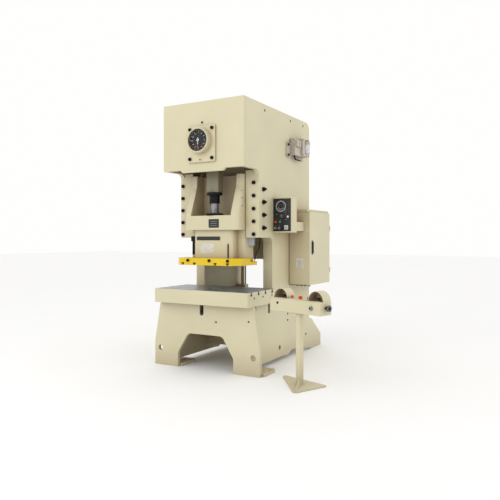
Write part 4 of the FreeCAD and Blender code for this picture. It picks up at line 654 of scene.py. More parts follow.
class PRESS_OT_set_stage(bpy.types.Operator):
    """Camera, pale floor, white room and large soft lights"""
    bl_idname = "press.set_stage"
    bl_label = "Set the stage"

    FLOOR_HALF = 40.0
    # The picture's centre lies beside and below the lens's axis, as shares of its width
    SHIFT = (0.004, -0.0229)

    def execute(self, context):
        choice = studio()
        camera = bpy.data.cameras.new("camera")
        camera.lens = choice.lens
        camera.sensor_width = 36
        camera.shift_x, camera.shift_y = self.SHIFT
        camera.clip_end = 200
        eye = bpy.data.objects.new("camera", camera)
        eye.location = choice.eye
        eye.rotation_euler = (math.pi / 2, 0, choice.yaw)
        context.scene.collection.objects.link(eye)
        context.scene.camera = eye
        context.scene.view_settings.view_transform = "Standard"
        self.room(choice.sky)
        self.floor()
        self.light("key_light", (-1.6, -6.4, 4.6), 4.2, choice.key)
        self.light("fill_light", (6.2, -1.6, 3.4), 3.6, choice.fill)
        return {"FINISHED"}

    def light(self, name, place, width, power):
        """A square light that faces the middle of the press."""
        lamp = bpy.data.lights.new(name, "AREA")
        lamp.size = width
        lamp.energy = power
        item = bpy.data.objects.new(name, lamp)
        item.location = place
        item.rotation_euler = (Vector((0, 0, 1.4)) - Vector(place)).to_track_quat("-Z", "Y").to_euler()
        bpy.context.scene.collection.objects.link(item)

    def room(self, strength):
        """An even, nearly white light from all sides."""
        world = bpy.data.worlds.new("white_room")
        world.use_nodes = True
        background = world.node_tree.nodes["Background"]
        background.inputs["Color"].default_value = (1.0, 0.995, 0.985, 1)
        background.inputs["Strength"].default_value = strength
        bpy.context.scene.world = world

    def floor(self):
        """A flat square, pale and dull."""
        half = self.FLOOR_HALF
        mesh = bpy.data.meshes.new("floor")
        corners = [(-half, -half, 0), (half, -half, 0), (half, half, 0), (-half, half, 0)]
        mesh.from_pydata(corners, [], [(0, 1, 2, 3)])
        item = bpy.data.objects.new("floor", mesh)
        bpy.context.scene.collection.objects.link(item)
        recipe = Recipe("floor_finish")
        tone = recipe.blend(recipe.noise(0.9, 3), (0.93, 0.93, 0.93), (0.96, 0.96, 0.96))
        mesh.materials.append(recipe.done(tone, 0.8))


# -------------------------------------------------------------------------------- hose

class PRESS_OT_lay_hose(bpy.types.Operator):
    """The flexible blow-off hose under the right gib"""
    bl_idname = "press.lay_hose"
    bl_label = "Lay the hose"

    ROUTE = [(0.418, -0.582, 1.392), (0.418, -0.582, 1.356), (0.421, -0.592, 1.320), (0.425, -0.613, 1.289),
             (0.429, -0.644, 1.262), (0.432, -0.676, 1.239), (0.436, -0.705, 1.209), (0.439, -0.730, 1.172)]
    LENGTH = 0.278

    def execute(self, context):
        diameter = sizes().hose
        curve = bpy.data.curves.new("hose", "CURVE")
        curve.dimensions = "3D"
        spline = curve.splines.new("NURBS")
        spline.points.add(len(self.ROUTE) - 1)
        spline.points.foreach_set("co", np.c_[self.ROUTE, np.ones(len(self.ROUTE))].ravel())
        spline.order_u = 3
        spline.use_endpoint_u = True
        curve.resolution_u = 16
        curve.bevel_depth = diameter / 2
        curve.bevel_resolution = 6
        curve.use_fill_caps = True
        curve.materials.append(material("black_rubber"))
        hose = bpy.data.objects.new("hose", curve)
        context.scene.collection.objects.link(hose)
        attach(hose, "frame")
        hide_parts("blow_hose")
        return {"FINISHED"}


# -------------------------------------------------------------------------------- dial

class PRESS_OT_engrave_dial(bpy.types.Operator):
    """Ticks, numerals, inner bezel and hub cap of the crank angle dial"""
    bl_idname = "press.engrave_dial"
    bl_label = "Engrave the dial"

    RAISED = 0.0005
    TICK_ANGLE = 5
    NUMERAL_ANGLE = 30
    TICK_INSET = 0.006
    NUMERAL_INSET = 0.033

    def execute(self, context):
        low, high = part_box("dial_face")
        centre = np.array([0.0, low[1], (low[2] + high[2]) / 2])
        radius = (high[0] - low[0]) / 2
        fixed("dial_ticks", [self.ticks(centre, radius)], "white_plastic")
        self.numerals(centre, radius)
        behind = np.array([0.0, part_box("dial_housing")[0][1], centre[2]]) + 0.001 * Y
        fixed("dial_bezel", [washer(behind, FRONT, radius - 0.0035, radius + 0.0045, 0.0030, 0.001, 96)],
              "black_plastic")
        fixed("dial_rim_bead", [washer(behind, FRONT, radius + 0.0105, radius + 0.0175, 0.0026, 0.0012, 96)],
              "cream_paint")
        hub = (0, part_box("dial_pointer")[0][1], centre[2])
        piece("pointer_cap", [head(hub, FRONT, 0.0105, -0.001, 0.0006, 0.0030)],
              "chrome_plate", "crankshaft", "chrome_plate")
        self.flange_fittings(centre)
        return {"FINISHED"}

    def ticks(self, centre, radius):
        """Ticks with their outer ends on one circle, the longer ones at the numerals."""
        angle = np.radians(np.arange(0, 360, self.TICK_ANGLE))
        long = np.isclose(np.degrees(angle) % self.NUMERAL_ANGLE, 0)
        outward = np.sin(angle)[:, None] * X + np.cos(angle)[:, None] * Z
        across = np.cross(outward, FRONT[None])
        length = np.where(long, sizes().tick_long, sizes().tick_short)
        width = np.where(long, 0.0012, 0.0006)
        centres = centre + (radius - self.TICK_INSET - length / 2)[:, None] * outward
        return blocks(centres + 0.0001 * Y, across, outward, width, length / 2, self.RAISED + 0.0001)

    def numerals(self, centre, radius):
        """The degrees, clockwise from the top, upright, on one circle."""
        made = []
        for degrees in range(0, 360, self.NUMERAL_ANGLE):
            curve = bpy.data.curves.new("numeral", "FONT")
            curve.body = str(degrees)
            curve.size = sizes().numeral
            curve.align_x, curve.align_y = "CENTER", "CENTER"
            curve.extrude = self.RAISED / 2
            curve.resolution_u = 3
            text = bpy.data.objects.new("numeral", curve)
            mesh = bpy.data.meshes.new_from_object(text)
            bpy.data.objects.remove(text)
            points = np.zeros(len(mesh.vertices) * 3)
            mesh.vertices.foreach_get("co", points)
            points = points.reshape(-1, 3)
            turn = math.radians(degrees)
            ring = radius - self.NUMERAL_INSET
            place = centre + ring * (math.sin(turn) * X + math.cos(turn) * Z) - (self.RAISED / 2) * Y
            world = place + points[:, 0, None] * X + points[:, 1, None] * Z + points[:, 2, None] * FRONT
            made.append((world, [list(face.vertices) for face in mesh.polygons]))
            bpy.data.meshes.remove(mesh)
        fixed("dial_numerals", made, "white_plastic", crease=20)

    def flange_fittings(self, centre):
        """A domed plug over the flange and a drain screw under the drum."""
        low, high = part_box("dial_housing")
        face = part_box("crown_front_plate")[0][1]
        shells = [head((0, face, high[2] + 0.034), FRONT, 0.011, -0.001, 0.003, 0.0075),
                  head((0, low[1] + 0.071 - 0.02, low[2] + 0.022), FRONT, 0.007, 0, 0.003, 0.005, 24)]
        fixed("crown_plugs", shells, "dark_steel")


# -------------------------------------------------------------------------------- slide

class PRESS_OT_cut_thread(bpy.types.Operator):
    """The adjusting screw with its ball, neck and real thread"""
    bl_idname = "press.cut_thread"
    bl_label = "Cut the adjusting screw"

    SIDES = 40
    STEM = 0.049
    BALL_TO_STEM = 0.062
    ROWS_A_TURN = 8

    def execute(self, context):
        low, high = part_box("adjusting_screw")
        centre = middle("adjusting_screw")
        ball = (high[0] - low[0]) / 2
        stem, top = self.STEM, high[2]
        ball_height = low[2] + ball
        tip = np.array([centre[0], centre[1], 0.0])
        a = np.linspace(-np.pi / 2, math.acos(stem * 0.92 / ball), 22)
        neck = list(zip(ball * np.cos(a), ball_height + ball * np.sin(a)))
        foot = ball_height + self.BALL_TO_STEM
        neck += [(stem * 0.92, foot), (stem, foot + 0.005), (stem, foot + 0.008)]
        end = [(stem - 0.004, top - 0.006), (stem - 0.004, top - 0.003), (stem - 0.007, top),
               (0.012, top), (0.010, top - 0.002), (0.0, top - 0.002)]
        shells = [turned(tip, Z, neck, self.SIDES), self.thread(tip, stem, foot + 0.006, top - 0.004),
                  turned(tip, Z, end, self.SIDES)]
        piece("screw", shells, "bright_steel", "adjusting_screw", "ground_steel", crease=28,
              stands_for=("adjusting_screw",))
        return {"FINISHED"}

    def thread(self, tip, radius, low, high):
        """Radius = crest - depth * w, with w a rounded triangle wave of height / pitch - angle / 2 pi."""
        choice = sizes()
        rows = int((high - low) / choice.thread_pitch * self.ROWS_A_TURN) + 1
        height = np.linspace(low, high, rows)[:, None]
        t = np.linspace(0, 2 * np.pi, self.SIDES, endpoint=False)[None]
        phase = (height - low) / choice.thread_pitch - t / (2 * np.pi)
        wave = np.clip(1.25 * np.abs(2 * (phase % 1.0) - 1) - 0.12, 0, 1)
        fade = np.clip(np.minimum(height - low, high - height) / choice.thread_pitch, 0, 1)
        r = radius - 0.0004 - choice.thread_depth * wave * fade
        height = np.broadcast_to(height, r.shape)
        return grid_shell(np.stack([tip[0] + r * np.cos(t), tip[1] + r * np.sin(t), height], -1))


class PRESS_OT_dress_slide(bpy.types.Operator):
    """Rivets, raised lines, a label and grease nipples on the slide"""
    bl_idname = "press.dress_slide"
    bl_label = "Dress the slide"

    RIVET = 0.0028

    def execute(self, context):
        rivets, borders = [], []
        for low, high in solids("slide_nameplates"):
            half_x, half_z = (high[0] - low[0]) / 2, (high[2] - low[2]) / 2
            face = np.array([(low[0] + high[0]) / 2, low[1], (low[2] + high[2]) / 2])
            for across in (-1, 1):
                for up in (-1, 1):
                    spot = face + across * (half_x - 0.006) * X + up * (half_z - 0.006) * Z
                    rivets.append(head(spot, FRONT, self.RIVET, -0.0005, 0.0004, 0.0016, 16))
            if half_z > 0.02:
                half = half_x * 0.62
                borders += [slab(face + line * half_z * Z, X, Z, half, 0.0012, 0.0004, 0.0010, 0.0002)
                            for line in (-0.45, 0.0, 0.45)]
        piece("nameplate_rivets", rivets, "chrome_plate", "slide", "chrome_plate")
        piece("nameplate_lines", borders, "plate_metal", "slide", "plate_metal")
        strip = solids("slide_nameplates")[0]
        label = np.array([strip[0][0] + 0.135, strip[1][1], strip[0][2] - 0.088])
        piece("slide_label", [slab(label, X, Z, 0.085, 0.053, 0.0008, 0.004, 0.0002)], "pale_label", "slide",
              "plate_metal")
        self.nipples()
        return {"FINISHED"}

    def nipples(self):
        """Grease nipples on the slide's right flank: a hexagon, a neck and a ball."""
        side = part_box("slide")[1][0] - 0.05
        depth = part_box("slide")[0][1] + 0.085
        shells = []
        for height in (1.72, 1.80, 1.88):
            spot = (side, depth, height)
            shells.append(turned(spot, X, [(0.0065, -0.001), (0.0065, 0.005), (0.0038, 0.006)], 6))
            neck = [(0.0032, 0.004), (0.0032, 0.010), (0.0045, 0.012)]
            shells.append(turned(spot, X, neck + dome(0.0045, 0.012, 0.0165, 5), 16))
        piece("grease_nipples", shells, "chrome_plate", "slide", "chrome_plate")


# -------------------------------------------------------------------------------- panel

class PRESS_OT_fit_panel(bpy.types.Operator):
    """Lamp ring, windows, bezels, legends, buttons and selectors of the control panel"""
    bl_idname = "press.fit_panel"
    bl_label = "Fit the control panel"

    # Control: finish of its cap or knob
    PUSH_BUTTONS = {"stop_button": "red_plastic", "start_button": "green_plastic"}
    SELECTORS = {"left_selector": "grey_plastic", "right_selector": "grey_plastic",
                 "key_switch": "chrome_plate"}
    # Middle across, middle up, half length of each blank legend; the middles are shares of the panel
    LEGENDS = ((0.164, 0.355, 0.010), (0.411, 0.362, 0.010), (0.72, 0.36, 0.014), (0.14, 0.172, 0.009),
               (0.355, 0.172, 0.009), (0.70, 0.50, 0.012), (0.70, 0.62, 0.012), (0.70, 0.56, 0.010),
               (0.20, 0.52, 0.011))
    TOGGLE_LEAN = math.radians(38)

    def execute(self, context):
        low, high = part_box("panel_face")
        self.face = low[1]
        self.low, self.high = np.array(low), np.array(high)
        self.lamp_ring()
        self.lower_marks()
        for node, finish in self.PUSH_BUTTONS.items():
            self.push_button(node, finish)
        for node, finish in self.SELECTORS.items():
            self.selector(node, finish)
        self.screws()
        return {"FINISHED"}

    def spot(self, across, up, lift=0.0):
        """A place on the panel as shares of its width and height."""
        return np.array([self.low[0] + across * (self.high[0] - self.low[0]), self.face - lift,
                         self.low[2] + up * (self.high[2] - self.low[2])])

    def lamp_ring(self):
        """A pale ring with its lamps, two smoked windows and a bright bowed bar."""
        radius = sizes().lamp_ring
        centre = self.spot(0.43, 0.765)
        ring = washer(centre + 0.0002 * Y, FRONT, radius - 0.0075, radius + 0.0065, 0.0012, 0.0004, 96)
        fixed("panel_ring", [ring], "lamp_pale", "grey_plastic")
        lamps, others = [], []
        for number in range(sizes().lamp_count):
            turn = 2 * math.pi * number / sizes().lamp_count
            place = centre + radius * (math.sin(turn) * X + math.cos(turn) * Z)
            shell = head(place - 0.0008 * Y, FRONT, 0.0024, 0, 0.0005, 0.0018, 14, 5)
            (lamps if number % 4 == 0 else others).append(shell)
        fixed("panel_lamps_lit", lamps, "lamp_green", "green_plastic")
        fixed("panel_lamps_dark", others, "smoked_window", "black_plastic")
        places = [centre + (side * 0.021) * X + 0.013 * Z for side in (-1, 1)]
        windows = [slab(place, X, Z, 0.0125, 0.009, 0.001, 0.004, 0.0004) for place in places]
        fixed("panel_windows", windows, "smoked_window", "black_plastic")
        bar = self.bow(centre - 0.002 * Z, 0.030, 200, 340, 0.0035)
        fixed("panel_bar", [bar], "lamp_pale", "grey_plastic")
        frames = [washer(place, FRONT, 0.0135, 0.0155, 0.0008, 0.0002, 40) for place in places]
        fixed("panel_window_frames", frames, "grey_plastic")

    def bow(self, centre, radius, start, end, half):
        """A flat arc: its rows run round from start to end degrees, its columns round a thin rectangle."""
        t = np.radians(np.linspace(start, end, 40))[:, None]
        across = np.array([-half, half, half, -half])[None] + radius
        lift = np.array([0.0, 0.0, 0.0012, 0.0012])[None]
        points = np.stack([centre[0] + across * np.cos(t), centre[1] - lift + 0 * t,
                           centre[2] + across * np.sin(t)], -1)
        return grid_shell(points[:, ::-1])

    def lower_marks(self):
        """A small dial under the ring, blank legends, the white toggle and the switch plate."""
        dial = self.spot(0.472, 0.472)
        fixed("panel_small_dial", [washer(dial, FRONT, 0.0165, 0.0195, 0.0012, 0.0004, 48),
                                   head(dial, FRONT, 0.009, -0.0002, 0.003, 0.0065, steps=6)],
              "grey_plastic")
        legends = [slab(self.spot(across, up), X, Z, half, 0.0011, 0.0003, 0.0009, 0.0001)
                   for across, up, half in self.LEGENDS]
        fixed("panel_legends", legends, "lamp_pale", "white_plastic")
        strip = slab(self.spot(0.86, 0.66), X, Z, 0.011, 0.092, 0.0006, 0.004, 0.0002)
        fixed("panel_strip", [strip], "dark_plate", "grey_plastic")
        toggle = self.spot(0.818, 0.444)
        lean = np.array([math.sin(self.TOGGLE_LEAN), 0, math.cos(self.TOGGLE_LEAN)])
        side = np.cross(lean, FRONT)
        fixed("panel_toggle", [slab(toggle, -side, lean, 0.0048, 0.0125, 0.010, 0.0045, 0.002),
                               washer(toggle, FRONT, 0.0002, 0.0115, 0.0028, 0.001, 32)],
              "white_plastic")
        key = middle("key_switch")
        plate = np.array([key[0], self.face, key[2]])
        fixed("key_plate", [self.holed_plate(plate, 0.0225, 0.0165, 0.0022)], "white_plastic")

    def holed_plate(self, centre, half, hole, thick):
        """A square plate with a round hole: rows go from the hole's edge out underneath and back on top."""
        t = np.linspace(0, 2 * np.pi, 64, endpoint=False)
        circle = np.stack([np.cos(t), np.sin(t)], -1)
        power = 8.0
        square = circle / (np.abs(circle) ** power).sum(1)[:, None] ** (1 / power)
        rings = [(hole * circle, 0.0), (half * square, 0.0), (half * square, thick - 0.0006),
                 ((half - 0.0006) * square, thick), (hole * circle, thick)]
        points = np.stack([centre + ring[:, :1] * X + ring[:, 1:] * Z + lift * FRONT for ring, lift in rings])
        return grid_shell(points, loop_rows=True)

    def control(self, node):
        """A control's place at its rear, its radius, its length, and its place on the panel's face."""
        low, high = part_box(node)
        rear = np.array([(low[0] + high[0]) / 2, high[1], (low[2] + high[2]) / 2])
        return rear, (high[0] - low[0]) / 2, high[1] - low[1], np.array([rear[0], self.face, rear[2]])

    def push_button(self, node, finish):
        """A dished cap on a thinner stem, in a bezel."""
        rear, radius, length, base = self.control(node)
        stem, under = radius - 0.0034, length - 0.012
        cap = [(0.0, 0.0), (stem, 0.0), (stem, under), (radius, under)] + quarter(radius, length, 0.0022)
        dish = [(radius - 0.004, length), (radius - 0.0055, length - 0.0007), (0.0, length - 0.0012)]
        piece(node + "_cap", [turned(rear, FRONT, cap + dish)], finish, node, finish, stands_for=(node,))
        ring = washer(base, FRONT, radius + 0.0006, radius + 0.0006 + 0.004, 0.0045, 0.0016)
        fixed(node + "_bezel", [ring], "dark_plate", "black_plastic")

    def selector(self, node, finish):
        """A round knob with a raised grip and a mark; all but the key switch have a bezel."""
        rear, radius, length, base = self.control(node)
        under, top = length - 0.024, length - 0.012
        knob = [(0.0, 0.0), (radius - 0.0036, 0.0), (radius - 0.0036, under), (radius, under)]
        knob += quarter(radius, top, 0.002) + [(0.0, top)]
        grip = slab(rear + (top - 0.0015) * FRONT, X, Z, 0.0038, radius - 0.0012, length - top + 0.0015,
                    0.003, 0.0018)
        piece(node + "_knob", [turned(rear, FRONT, knob), grip], finish, node, "grey_plastic",
              stands_for=(node,))
        place = rear + (length - 0.0001) * FRONT + (radius - 0.0075) * Z
        mark = slab(place, X, Z, 0.0009, 0.0035, 0.0004, 0.0006, 0.0001)
        plain = node != "key_switch"
        piece(node + "_mark", [mark], "white_plastic" if plain else "black_plastic", node)
        if plain:
            fixed(node + "_bezel", [washer(base, FRONT, radius + 0.0006, radius + 0.0042, 0.0036, 0.0012)],
                  "black_plastic")

    def screws(self):
        """Four countersunk screws at the corners of the black plate."""
        shells = [head(self.spot(across, up) + 0.0002 * Y, FRONT, 0.0036, 0, 0.0004, 0.0012, 20, 5)
                  for across in (0.045, 0.955) for up in (0.025, 0.975)]
        fixed("panel_screws", shells, "dark_steel")


# -------------------------------------------------------------------------------- console

class PRESS_OT_fit_console(bpy.types.Operator):
    """Palm buttons, emergency stop, flush buttons, collars, plugs and knobs of the control stand"""
    bl_idname = "press.fit_console"
    bl_label = "Fit the console"

    SIDES, FLUSH_SIDES = 56, 40
    BUTTON_TO_TOP = 0.030
    # The knobs at the console's ends, its front sockets and its plugs differ in height
    KNOB_HEIGHT, SOCKET_HEIGHT = 0.05, 0.03
    FLUTES, FLUTE_DEPTH, HEAD_SIDES = 12, 0.035, 96

    def execute(self, context):
        self.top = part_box("emergency_stop")[0][2] + self.BUTTON_TO_TOP
        for node in ("left_palm_button", "right_palm_button"):
            self.palm(node)
        self.emergency()
        self.flush("run_button", "red_plastic")
        self.flush("inch_button", "grey_plastic")
        self.sockets()
        self.foot_rib()
        return {"FINISHED"}

    def seat(self, node):
        """A button's place on the console's top, its lowest and highest point from there, and its radius."""
        low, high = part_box(node)
        centre = np.array([(low[0] + high[0]) / 2, (low[1] + high[1]) / 2, self.top])
        return centre, low[2] - self.top, high[2] - self.top, (high[0] - low[0]) / 2

    @staticmethod
    def collar(centre, hole, outer, wall, rim, high, sides):
        """A ring with a sloping shoulder from its wall up to its rim."""
        profile = [(hole, 0.0), (outer, 0.0), (outer, wall), (rim, high), (hole, high)]
        return turned(centre, Z, profile, sides, ring=True)

    def palm(self, node):
        """A mushroom button: stem, rounded skirt and a shallow dome."""
        centre, low, high, radius = self.seat(node)
        skirt = [(0.0, low), (0.0118, low), (0.0118, 0.012), (radius - 0.003, 0.012),
                 (radius - 0.0006, 0.0135)]
        piece(node + "_dome", [turned(centre, Z, skirt + dome(radius, 0.0175, high + 0.002, 10), self.SIDES)],
              "black_plastic", node, "black_plastic", stands_for=(node,))
        collar = self.collar(centre, 0.0136, 0.024, 0.0035, 0.0195, 0.0052, self.SIDES)
        fixed(node + "_collar", [collar], "chrome_plate")

    def emergency(self):
        """A red mushroom whose edge is fluted: radius = r * (1 + depth * cos(flutes * t)) near its rim."""
        centre, low, high, radius = self.seat("emergency_stop")
        skirt = [(0.0, low), (0.0118, low), (0.0118, 0.0125), (radius - 0.002, 0.0125), (radius, 0.015)]
        profile = np.array(skirt + dome(radius, 0.021, high + 0.003, 9))
        points, faces = turned(centre, Z, profile, self.HEAD_SIDES)
        grid = points.reshape(len(profile), self.HEAD_SIDES, 3)
        t = np.linspace(0, 2 * np.pi, self.HEAD_SIDES, endpoint=False)
        rim = (profile[:, 0] > 0.8 * radius)[:, None]
        flute = 1 + self.FLUTE_DEPTH * np.cos(self.FLUTES * t)[None] * rim
        grid[:, :, :2] = centre[:2] + (grid[:, :, :2] - centre[:2]) * flute[..., None]
        piece("emergency_stop_head", [(grid.reshape(-1, 3), faces)], "red_plastic", "emergency_stop",
              "red_plastic", stands_for=("emergency_stop",))
        ring = self.collar(centre, 0.0136, 0.030, 0.0022, 0.0285, 0.0034, self.SIDES)
        fixed("emergency_stop_ring", [ring], "slide_plate_finish", "yellow_paint")

    def flush(self, node, finish):
        """A dished button in a collar."""
        centre, low, high, radius = self.seat(node)
        profile = [(0.0, low), (0.0088, low), (0.0088, 0.012), (radius, 0.012)] + quarter(radius, high, 0.002)
        profile += [(radius - 0.0045, high), (radius - 0.006, high - 0.0008), (0.0, high - 0.0012)]
        cap = turned(centre, Z, profile, self.FLUSH_SIDES)
        piece(node + "_cap", [cap], finish, node, finish, stands_for=(node,))
        collar = self.collar(centre, 0.0105, 0.0185, 0.003, 0.0165, 0.0048, self.FLUSH_SIDES)
        fixed(node + "_collar", [collar], "chrome_plate")

    def sockets(self):
        """Rings and caps on the plugs at the console's front and on the clamp knobs at its ends."""
        right, rear = self.stand_axes()
        stand_middle = (middle("left_palm_button") + middle("right_palm_button")) / 2
        rings, caps = [], []
        for low, high in solids("console_fittings"):
            centre = (low + high) / 2
            height = high[2] - low[2]
            if height > self.KNOB_HEIGHT:
                outward = right if centre[0] > stand_middle[0] else -right
                end = centre + outward * 0.0195
                rings.append(washer(end, outward, 0.0225, 0.0258, 0.0022, 0.0008))
                caps.append(head(end, outward, 0.009, 0, 0.0032, 0.0045))
            elif height > self.SOCKET_HEIGHT:
                end = centre - rear * 0.006
                rings.append(washer(end, -rear, 0.0125, 0.0186, 0.003, 0.001))
                caps.append(head(end, -rear, 0.0105, 0, 0.0008, 0.0022))
            else:
                caps.append(head(centre - rear * 0.003, -rear, 0.008, 0, 0.0015, 0.004))
        fixed("console_rings", rings, "chrome_plate")
        fixed("console_caps", caps, "black_plastic")

    @staticmethod
    def stand_axes():
        """The stand's own right and rear directions, from its two palm buttons."""
        right = middle("right_palm_button") - middle("left_palm_button")
        right /= np.linalg.norm(right)
        return right, np.cross(Z, right)

    def foot_rib(self):
        """A folded rib on the foot, from the column to the front corner: its crest falls as 1 - s."""
        right, rear = self.stand_axes()
        column = (middle("left_palm_button") + middle("right_palm_button")) / 2
        base = np.array([column[0], column[1], 0.012]) - 0.008 * rear
        heading = 0.55 * right - 0.835 * rear
        heading /= np.linalg.norm(heading)
        side = np.cross(Z, heading)
        s = np.linspace(0, 1, 16)[:, None]
        line = base + (0.024 + 0.235 * s) * heading
        crest = 0.062 * (1 - s) + 0.002
        half = 0.017 - 0.009 * s
        points = np.stack([line + half * side, line + 0.12 * half * side + crest * Z,
                           line - 0.12 * half * side + crest * Z, line - half * side], 1)
        shells = [grid_shell(points[:, ::-1])]
        fixed("stand_rib", shells, "cream_paint")
        edge = 0.027
        corners = [base + 0.008 * rear + a * edge * right + b * edge * rear for a, b in
                   ((-1, -1), (1, -1), (1, 1), (-1, 1))]
        beads = [bead(first + 0.001 * Z, second + 0.001 * Z)
                 for first, second in zip(corners, corners[1:] + corners[:1])]
        fixed("stand_welds", beads, "cream_paint")


# -------------------------------------------------------------------------------- cabinet and air unit

class PRESS_OT_dress_cabinet(bpy.types.Operator):
    """Blank label, handle plate, black strips of painted shadow and gland row of the electrical cabinet"""
    bl_idname = "press.dress_cabinet"
    bl_label = "Dress the cabinet"

    SEAL_TOP = 1.440
    # Height above the label's middle, and half length, of each line on it
    LABEL_LINES = ((0.030, 0.034), (0.016, 0.030), (0.002, 0.034), (-0.012, 0.022), (-0.034, 0.034))

    def execute(self, context):
        low, high = (np.array(corner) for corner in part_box("electrical_cabinet"))
        front = low[1] + 0.006
        label = np.array([low[0] + 0.133, front, low[2] + 0.250])
        fixed("cabinet_label", [slab(label, X, Z, 0.046, 0.055, 0.0012, 0.004, 0.0004)],
              "pale_label", "plate_metal")
        lines = [slab(label - 0.0012 * Y + up * Z, X, Z, half, 0.0016, 0.0003, 0.001, 0.0001)
                 for up, half in self.LABEL_LINES]
        fixed("cabinet_label_lines", lines, "grey_plastic", "plate_metal")
        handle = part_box("door_handle")
        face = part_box("cabinet_door")[1][0] - 0.007
        plate = np.array([face, (handle[0][1] + handle[1][1]) / 2, (handle[0][2] + handle[1][2]) / 2])
        piece("handle_plate", [slab(plate - 0.0002 * X, Y, Z, 0.019, 0.082, 0.0016, 0.008, 0.0006)],
              "black_plastic", "cabinet_door", "black_plastic")
        # Painted shadow: thin black strips stand in for the shadow gaps along the cabinet's left front edge
        # and under its front
        upright = 0.5 * (self.SEAL_TOP - low[2])
        at_left, below = (low[0] + 0.0025, front, low[2] + upright), (low[0] + high[0]) / 2
        seams = [slab(at_left, X, Z, 0.0022, upright, 0.002, 0.0008, 0.0004),
                 slab((below, front, low[2] + 0.0025), X, Z, (high[0] - low[0]) / 2 - 0.002, 0.0022,
                      0.002, 0.0008, 0.0004)]
        fixed("cabinet_seals", seams, "black_rubber")
        gland = [(0.017, 0), (0.017, 0.010), (0.0135, 0.012), (0.0135, 0.022), (0.010, 0.024), (0.0, 0.024)]
        shells = [turned((low[0] + 0.045 + 0.05 * number, low[1] + 0.14, low[2] + 0.001), -Z, gland, 6)
                  for number in range(4)]
        fixed("cabinet_glands", shells, "grey_plastic")
        return {"FINISHED"}


class PRESS_OT_dress_air_unit(bpy.types.Operator):
    """Oil bowl, caps, solenoids, screws and pipes of the air unit"""
    bl_idname = "press.dress_air_unit"
    bl_label = "Dress the air unit"

    def execute(self, context):
        low, high = (np.array(corner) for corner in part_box("valve_unit"))
        bowl = np.array([high[0] - 0.034, low[1] + 0.370, low[2] + 0.070])
        profile = [(0.0, -0.0045), (0.012, -0.004), (0.026, 0.0005), (0.0345, 0.012), (0.0348, 0.112),
                   (0.0348, 0.118)]
        fixed("oil_bowl", [turned(bowl, Z, profile)], "oil_bowl_clear", "clear_glass")
        ribs = [washer(bowl + up * Z, Z, 0.0340, 0.0372, thick, 0.0012) for up, thick in
                ((0.106, 0.012), (0.126, 0.016))]
        fixed("oil_bowl_rings", ribs, "valve_paint")
        cap = [(0.030, -0.003), (0.030, 0.004)] + quarter(0.024, 0.018, 0.004) + [(0.0, 0.018)]
        fixed("oil_bowl_cap", [turned(bowl + 0.142 * Z, Z, cap)], "grey_plastic")
        outer = low[0] + 0.070
        for number, depth in enumerate((0.140, 0.200)):
            spot = np.array([outer - 0.001, low[1] + depth, low[2] + 0.165])
            fixed(f"solenoid_{number}", [slab(spot, Y, Z, 0.024, 0.036, 0.024, 0.006, 0.002)], "valve_paint")
        bolt = [(0.0165, 0), (0.0165, 0.008), (0.013, 0.011), (0.0, 0.011)]
        bolts = [turned((low[0] + 0.021, low[1] + 0.029, low[2] + up), X, bolt, 6) for up in (0.024, 0.143)]
        screw = [(0.006, 0), (0.006, 0.003)] + dome(0.005, 0.003, 0.005)
        small = [turned((low[0] + 0.0945, low[1] + depth, low[2] + up), X, screw, 20)
                 for depth in (0.275, 0.435) for up in (0.055, 0.225)]
        fixed("air_unit_screws", bolts + small, "dark_steel")
        start = np.array([low[0] + 0.040, low[1] + 0.15, low[2] + 0.031])
        t = np.linspace(0, np.pi / 2, 12)[:, None]
        drop = start + np.hstack([0 * t, 0.045 * (1 - np.cos(t)), -0.045 * np.sin(t)])
        run = drop[-1] + np.linspace(0.01, 0.12, 6)[:, None] * Y
        fixed("air_pipe", [tube(np.vstack([start + 0.012 * Z, drop, run]), 0.0075)], "dark_steel")
        return {"FINISHED"}


# -------------------------------------------------------------------------------- welds and fasteners

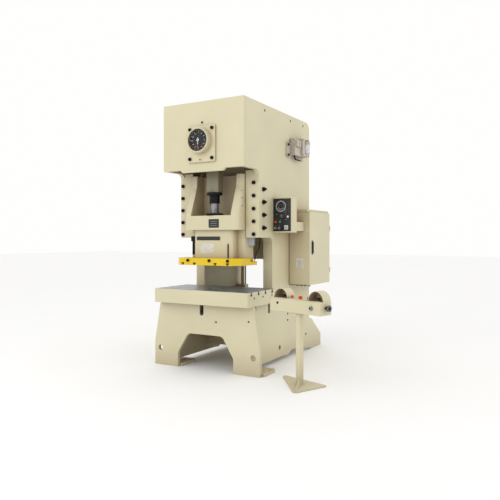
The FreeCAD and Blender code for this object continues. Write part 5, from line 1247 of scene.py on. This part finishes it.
class PRESS_OT_lay_welds(bpy.types.Operator):
    """Weld beads along the frame's inner corners, and the small plugs on its side"""
    bl_idname = "press.lay_welds"
    bl_label = "Lay the welds"

    # Depth and height of each plug on a side plate
    PLUGS = ((-0.068, 0.513), (-0.068, 0.441), (0.448, 0.205))

    def execute(self, context):
        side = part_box("right_side_plate")[1][0]
        bed_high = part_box("bed_front_plate")[1]
        back = bed_high[1]
        pad_top, pad_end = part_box("foot_pads")[1][2], back + 0.22
        seams = []
        for sign in (-1, 1):
            seams += [((sign * side, back, 0.045), (sign * side, back, bed_high[2] - 0.12)),
                      ((sign * side, back + 0.01, pad_top), (sign * side, pad_end, pad_top)),
                      ((sign * (side + 0.01), back, pad_top), (sign * (bed_high[0] - 0.03), back, pad_top))]
        fixed("frame_welds", [bead(*seam) for seam in seams], "cream_paint")
        panel_low, panel_high = (np.array(corner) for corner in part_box("control_panel_box"))
        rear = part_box("panel_face")[0][1] + 0.110
        seams = [((side, panel_low[1] + 0.012, panel_low[2]), (side, rear, panel_low[2])),
                 ((side, panel_low[1] + 0.012, panel_high[2]), (side, rear, panel_high[2]))]
        fixed("panel_welds", [bead(*seam) for seam in seams], "cream_paint")
        self.plugs(side)
        return {"FINISHED"}

    def plugs(self, side):
        """Grease plugs low on the side plates."""
        plug = [(0.012, -0.001), (0.012, 0.002)] + dome(0.010, 0.002, 0.006)
        shells = [turned((sign * side, depth, height), sign * X, plug, 24)
                  for sign in (-1, 1) for depth, height in self.PLUGS]
        fixed("side_plugs", shells, "dark_steel")


# -------------------------------------------------------------------------------- add-on

STEPS = (PRESS_OT_mix_finishes, PRESS_OT_set_stage, PRESS_OT_lay_hose, PRESS_OT_paint_cad,
         PRESS_OT_engrave_dial, PRESS_OT_cut_thread, PRESS_OT_dress_slide, PRESS_OT_fit_panel,
         PRESS_OT_fit_console, PRESS_OT_dress_cabinet, PRESS_OT_dress_air_unit, PRESS_OT_lay_welds)
GROUPS = {"press_colours": PressColours, "press_sizes": PressSizes, "press_studio": PressStudio}


class PRESS_PT_panel(bpy.types.Panel):
    """The steps in order, and their settings"""
    bl_idname = "PRESS_PT_panel"
    bl_label = "Stamping press"
    bl_space_type = "VIEW_3D"
    bl_region_type = "UI"
    bl_category = "Press"

    def draw(self, context):
        layout = self.layout
        for step in STEPS:
            layout.operator(step.bl_idname)
        for name, group in GROUPS.items():
            box = layout.box()
            for choice in group.__annotations__:
                box.prop(getattr(context.scene, name), choice)


def register():
    for item in (*GROUPS.values(), *STEPS, PRESS_PT_panel):
        bpy.utils.register_class(item)
    for name, group in GROUPS.items():
        setattr(bpy.types.Scene, name, PointerProperty(type=group))


def unregister():
    for name in GROUPS:
        delattr(bpy.types.Scene, name)
    for item in (PRESS_PT_panel, *STEPS[::-1], *GROUPS.values()):
        bpy.utils.unregister_class(item)


def main():
    """Register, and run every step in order."""
    register()
    for step in STEPS:
        group, name = step.bl_idname.split(".")
        getattr(getattr(bpy.ops, group), name)()


if __name__ == "__main__":
    main()
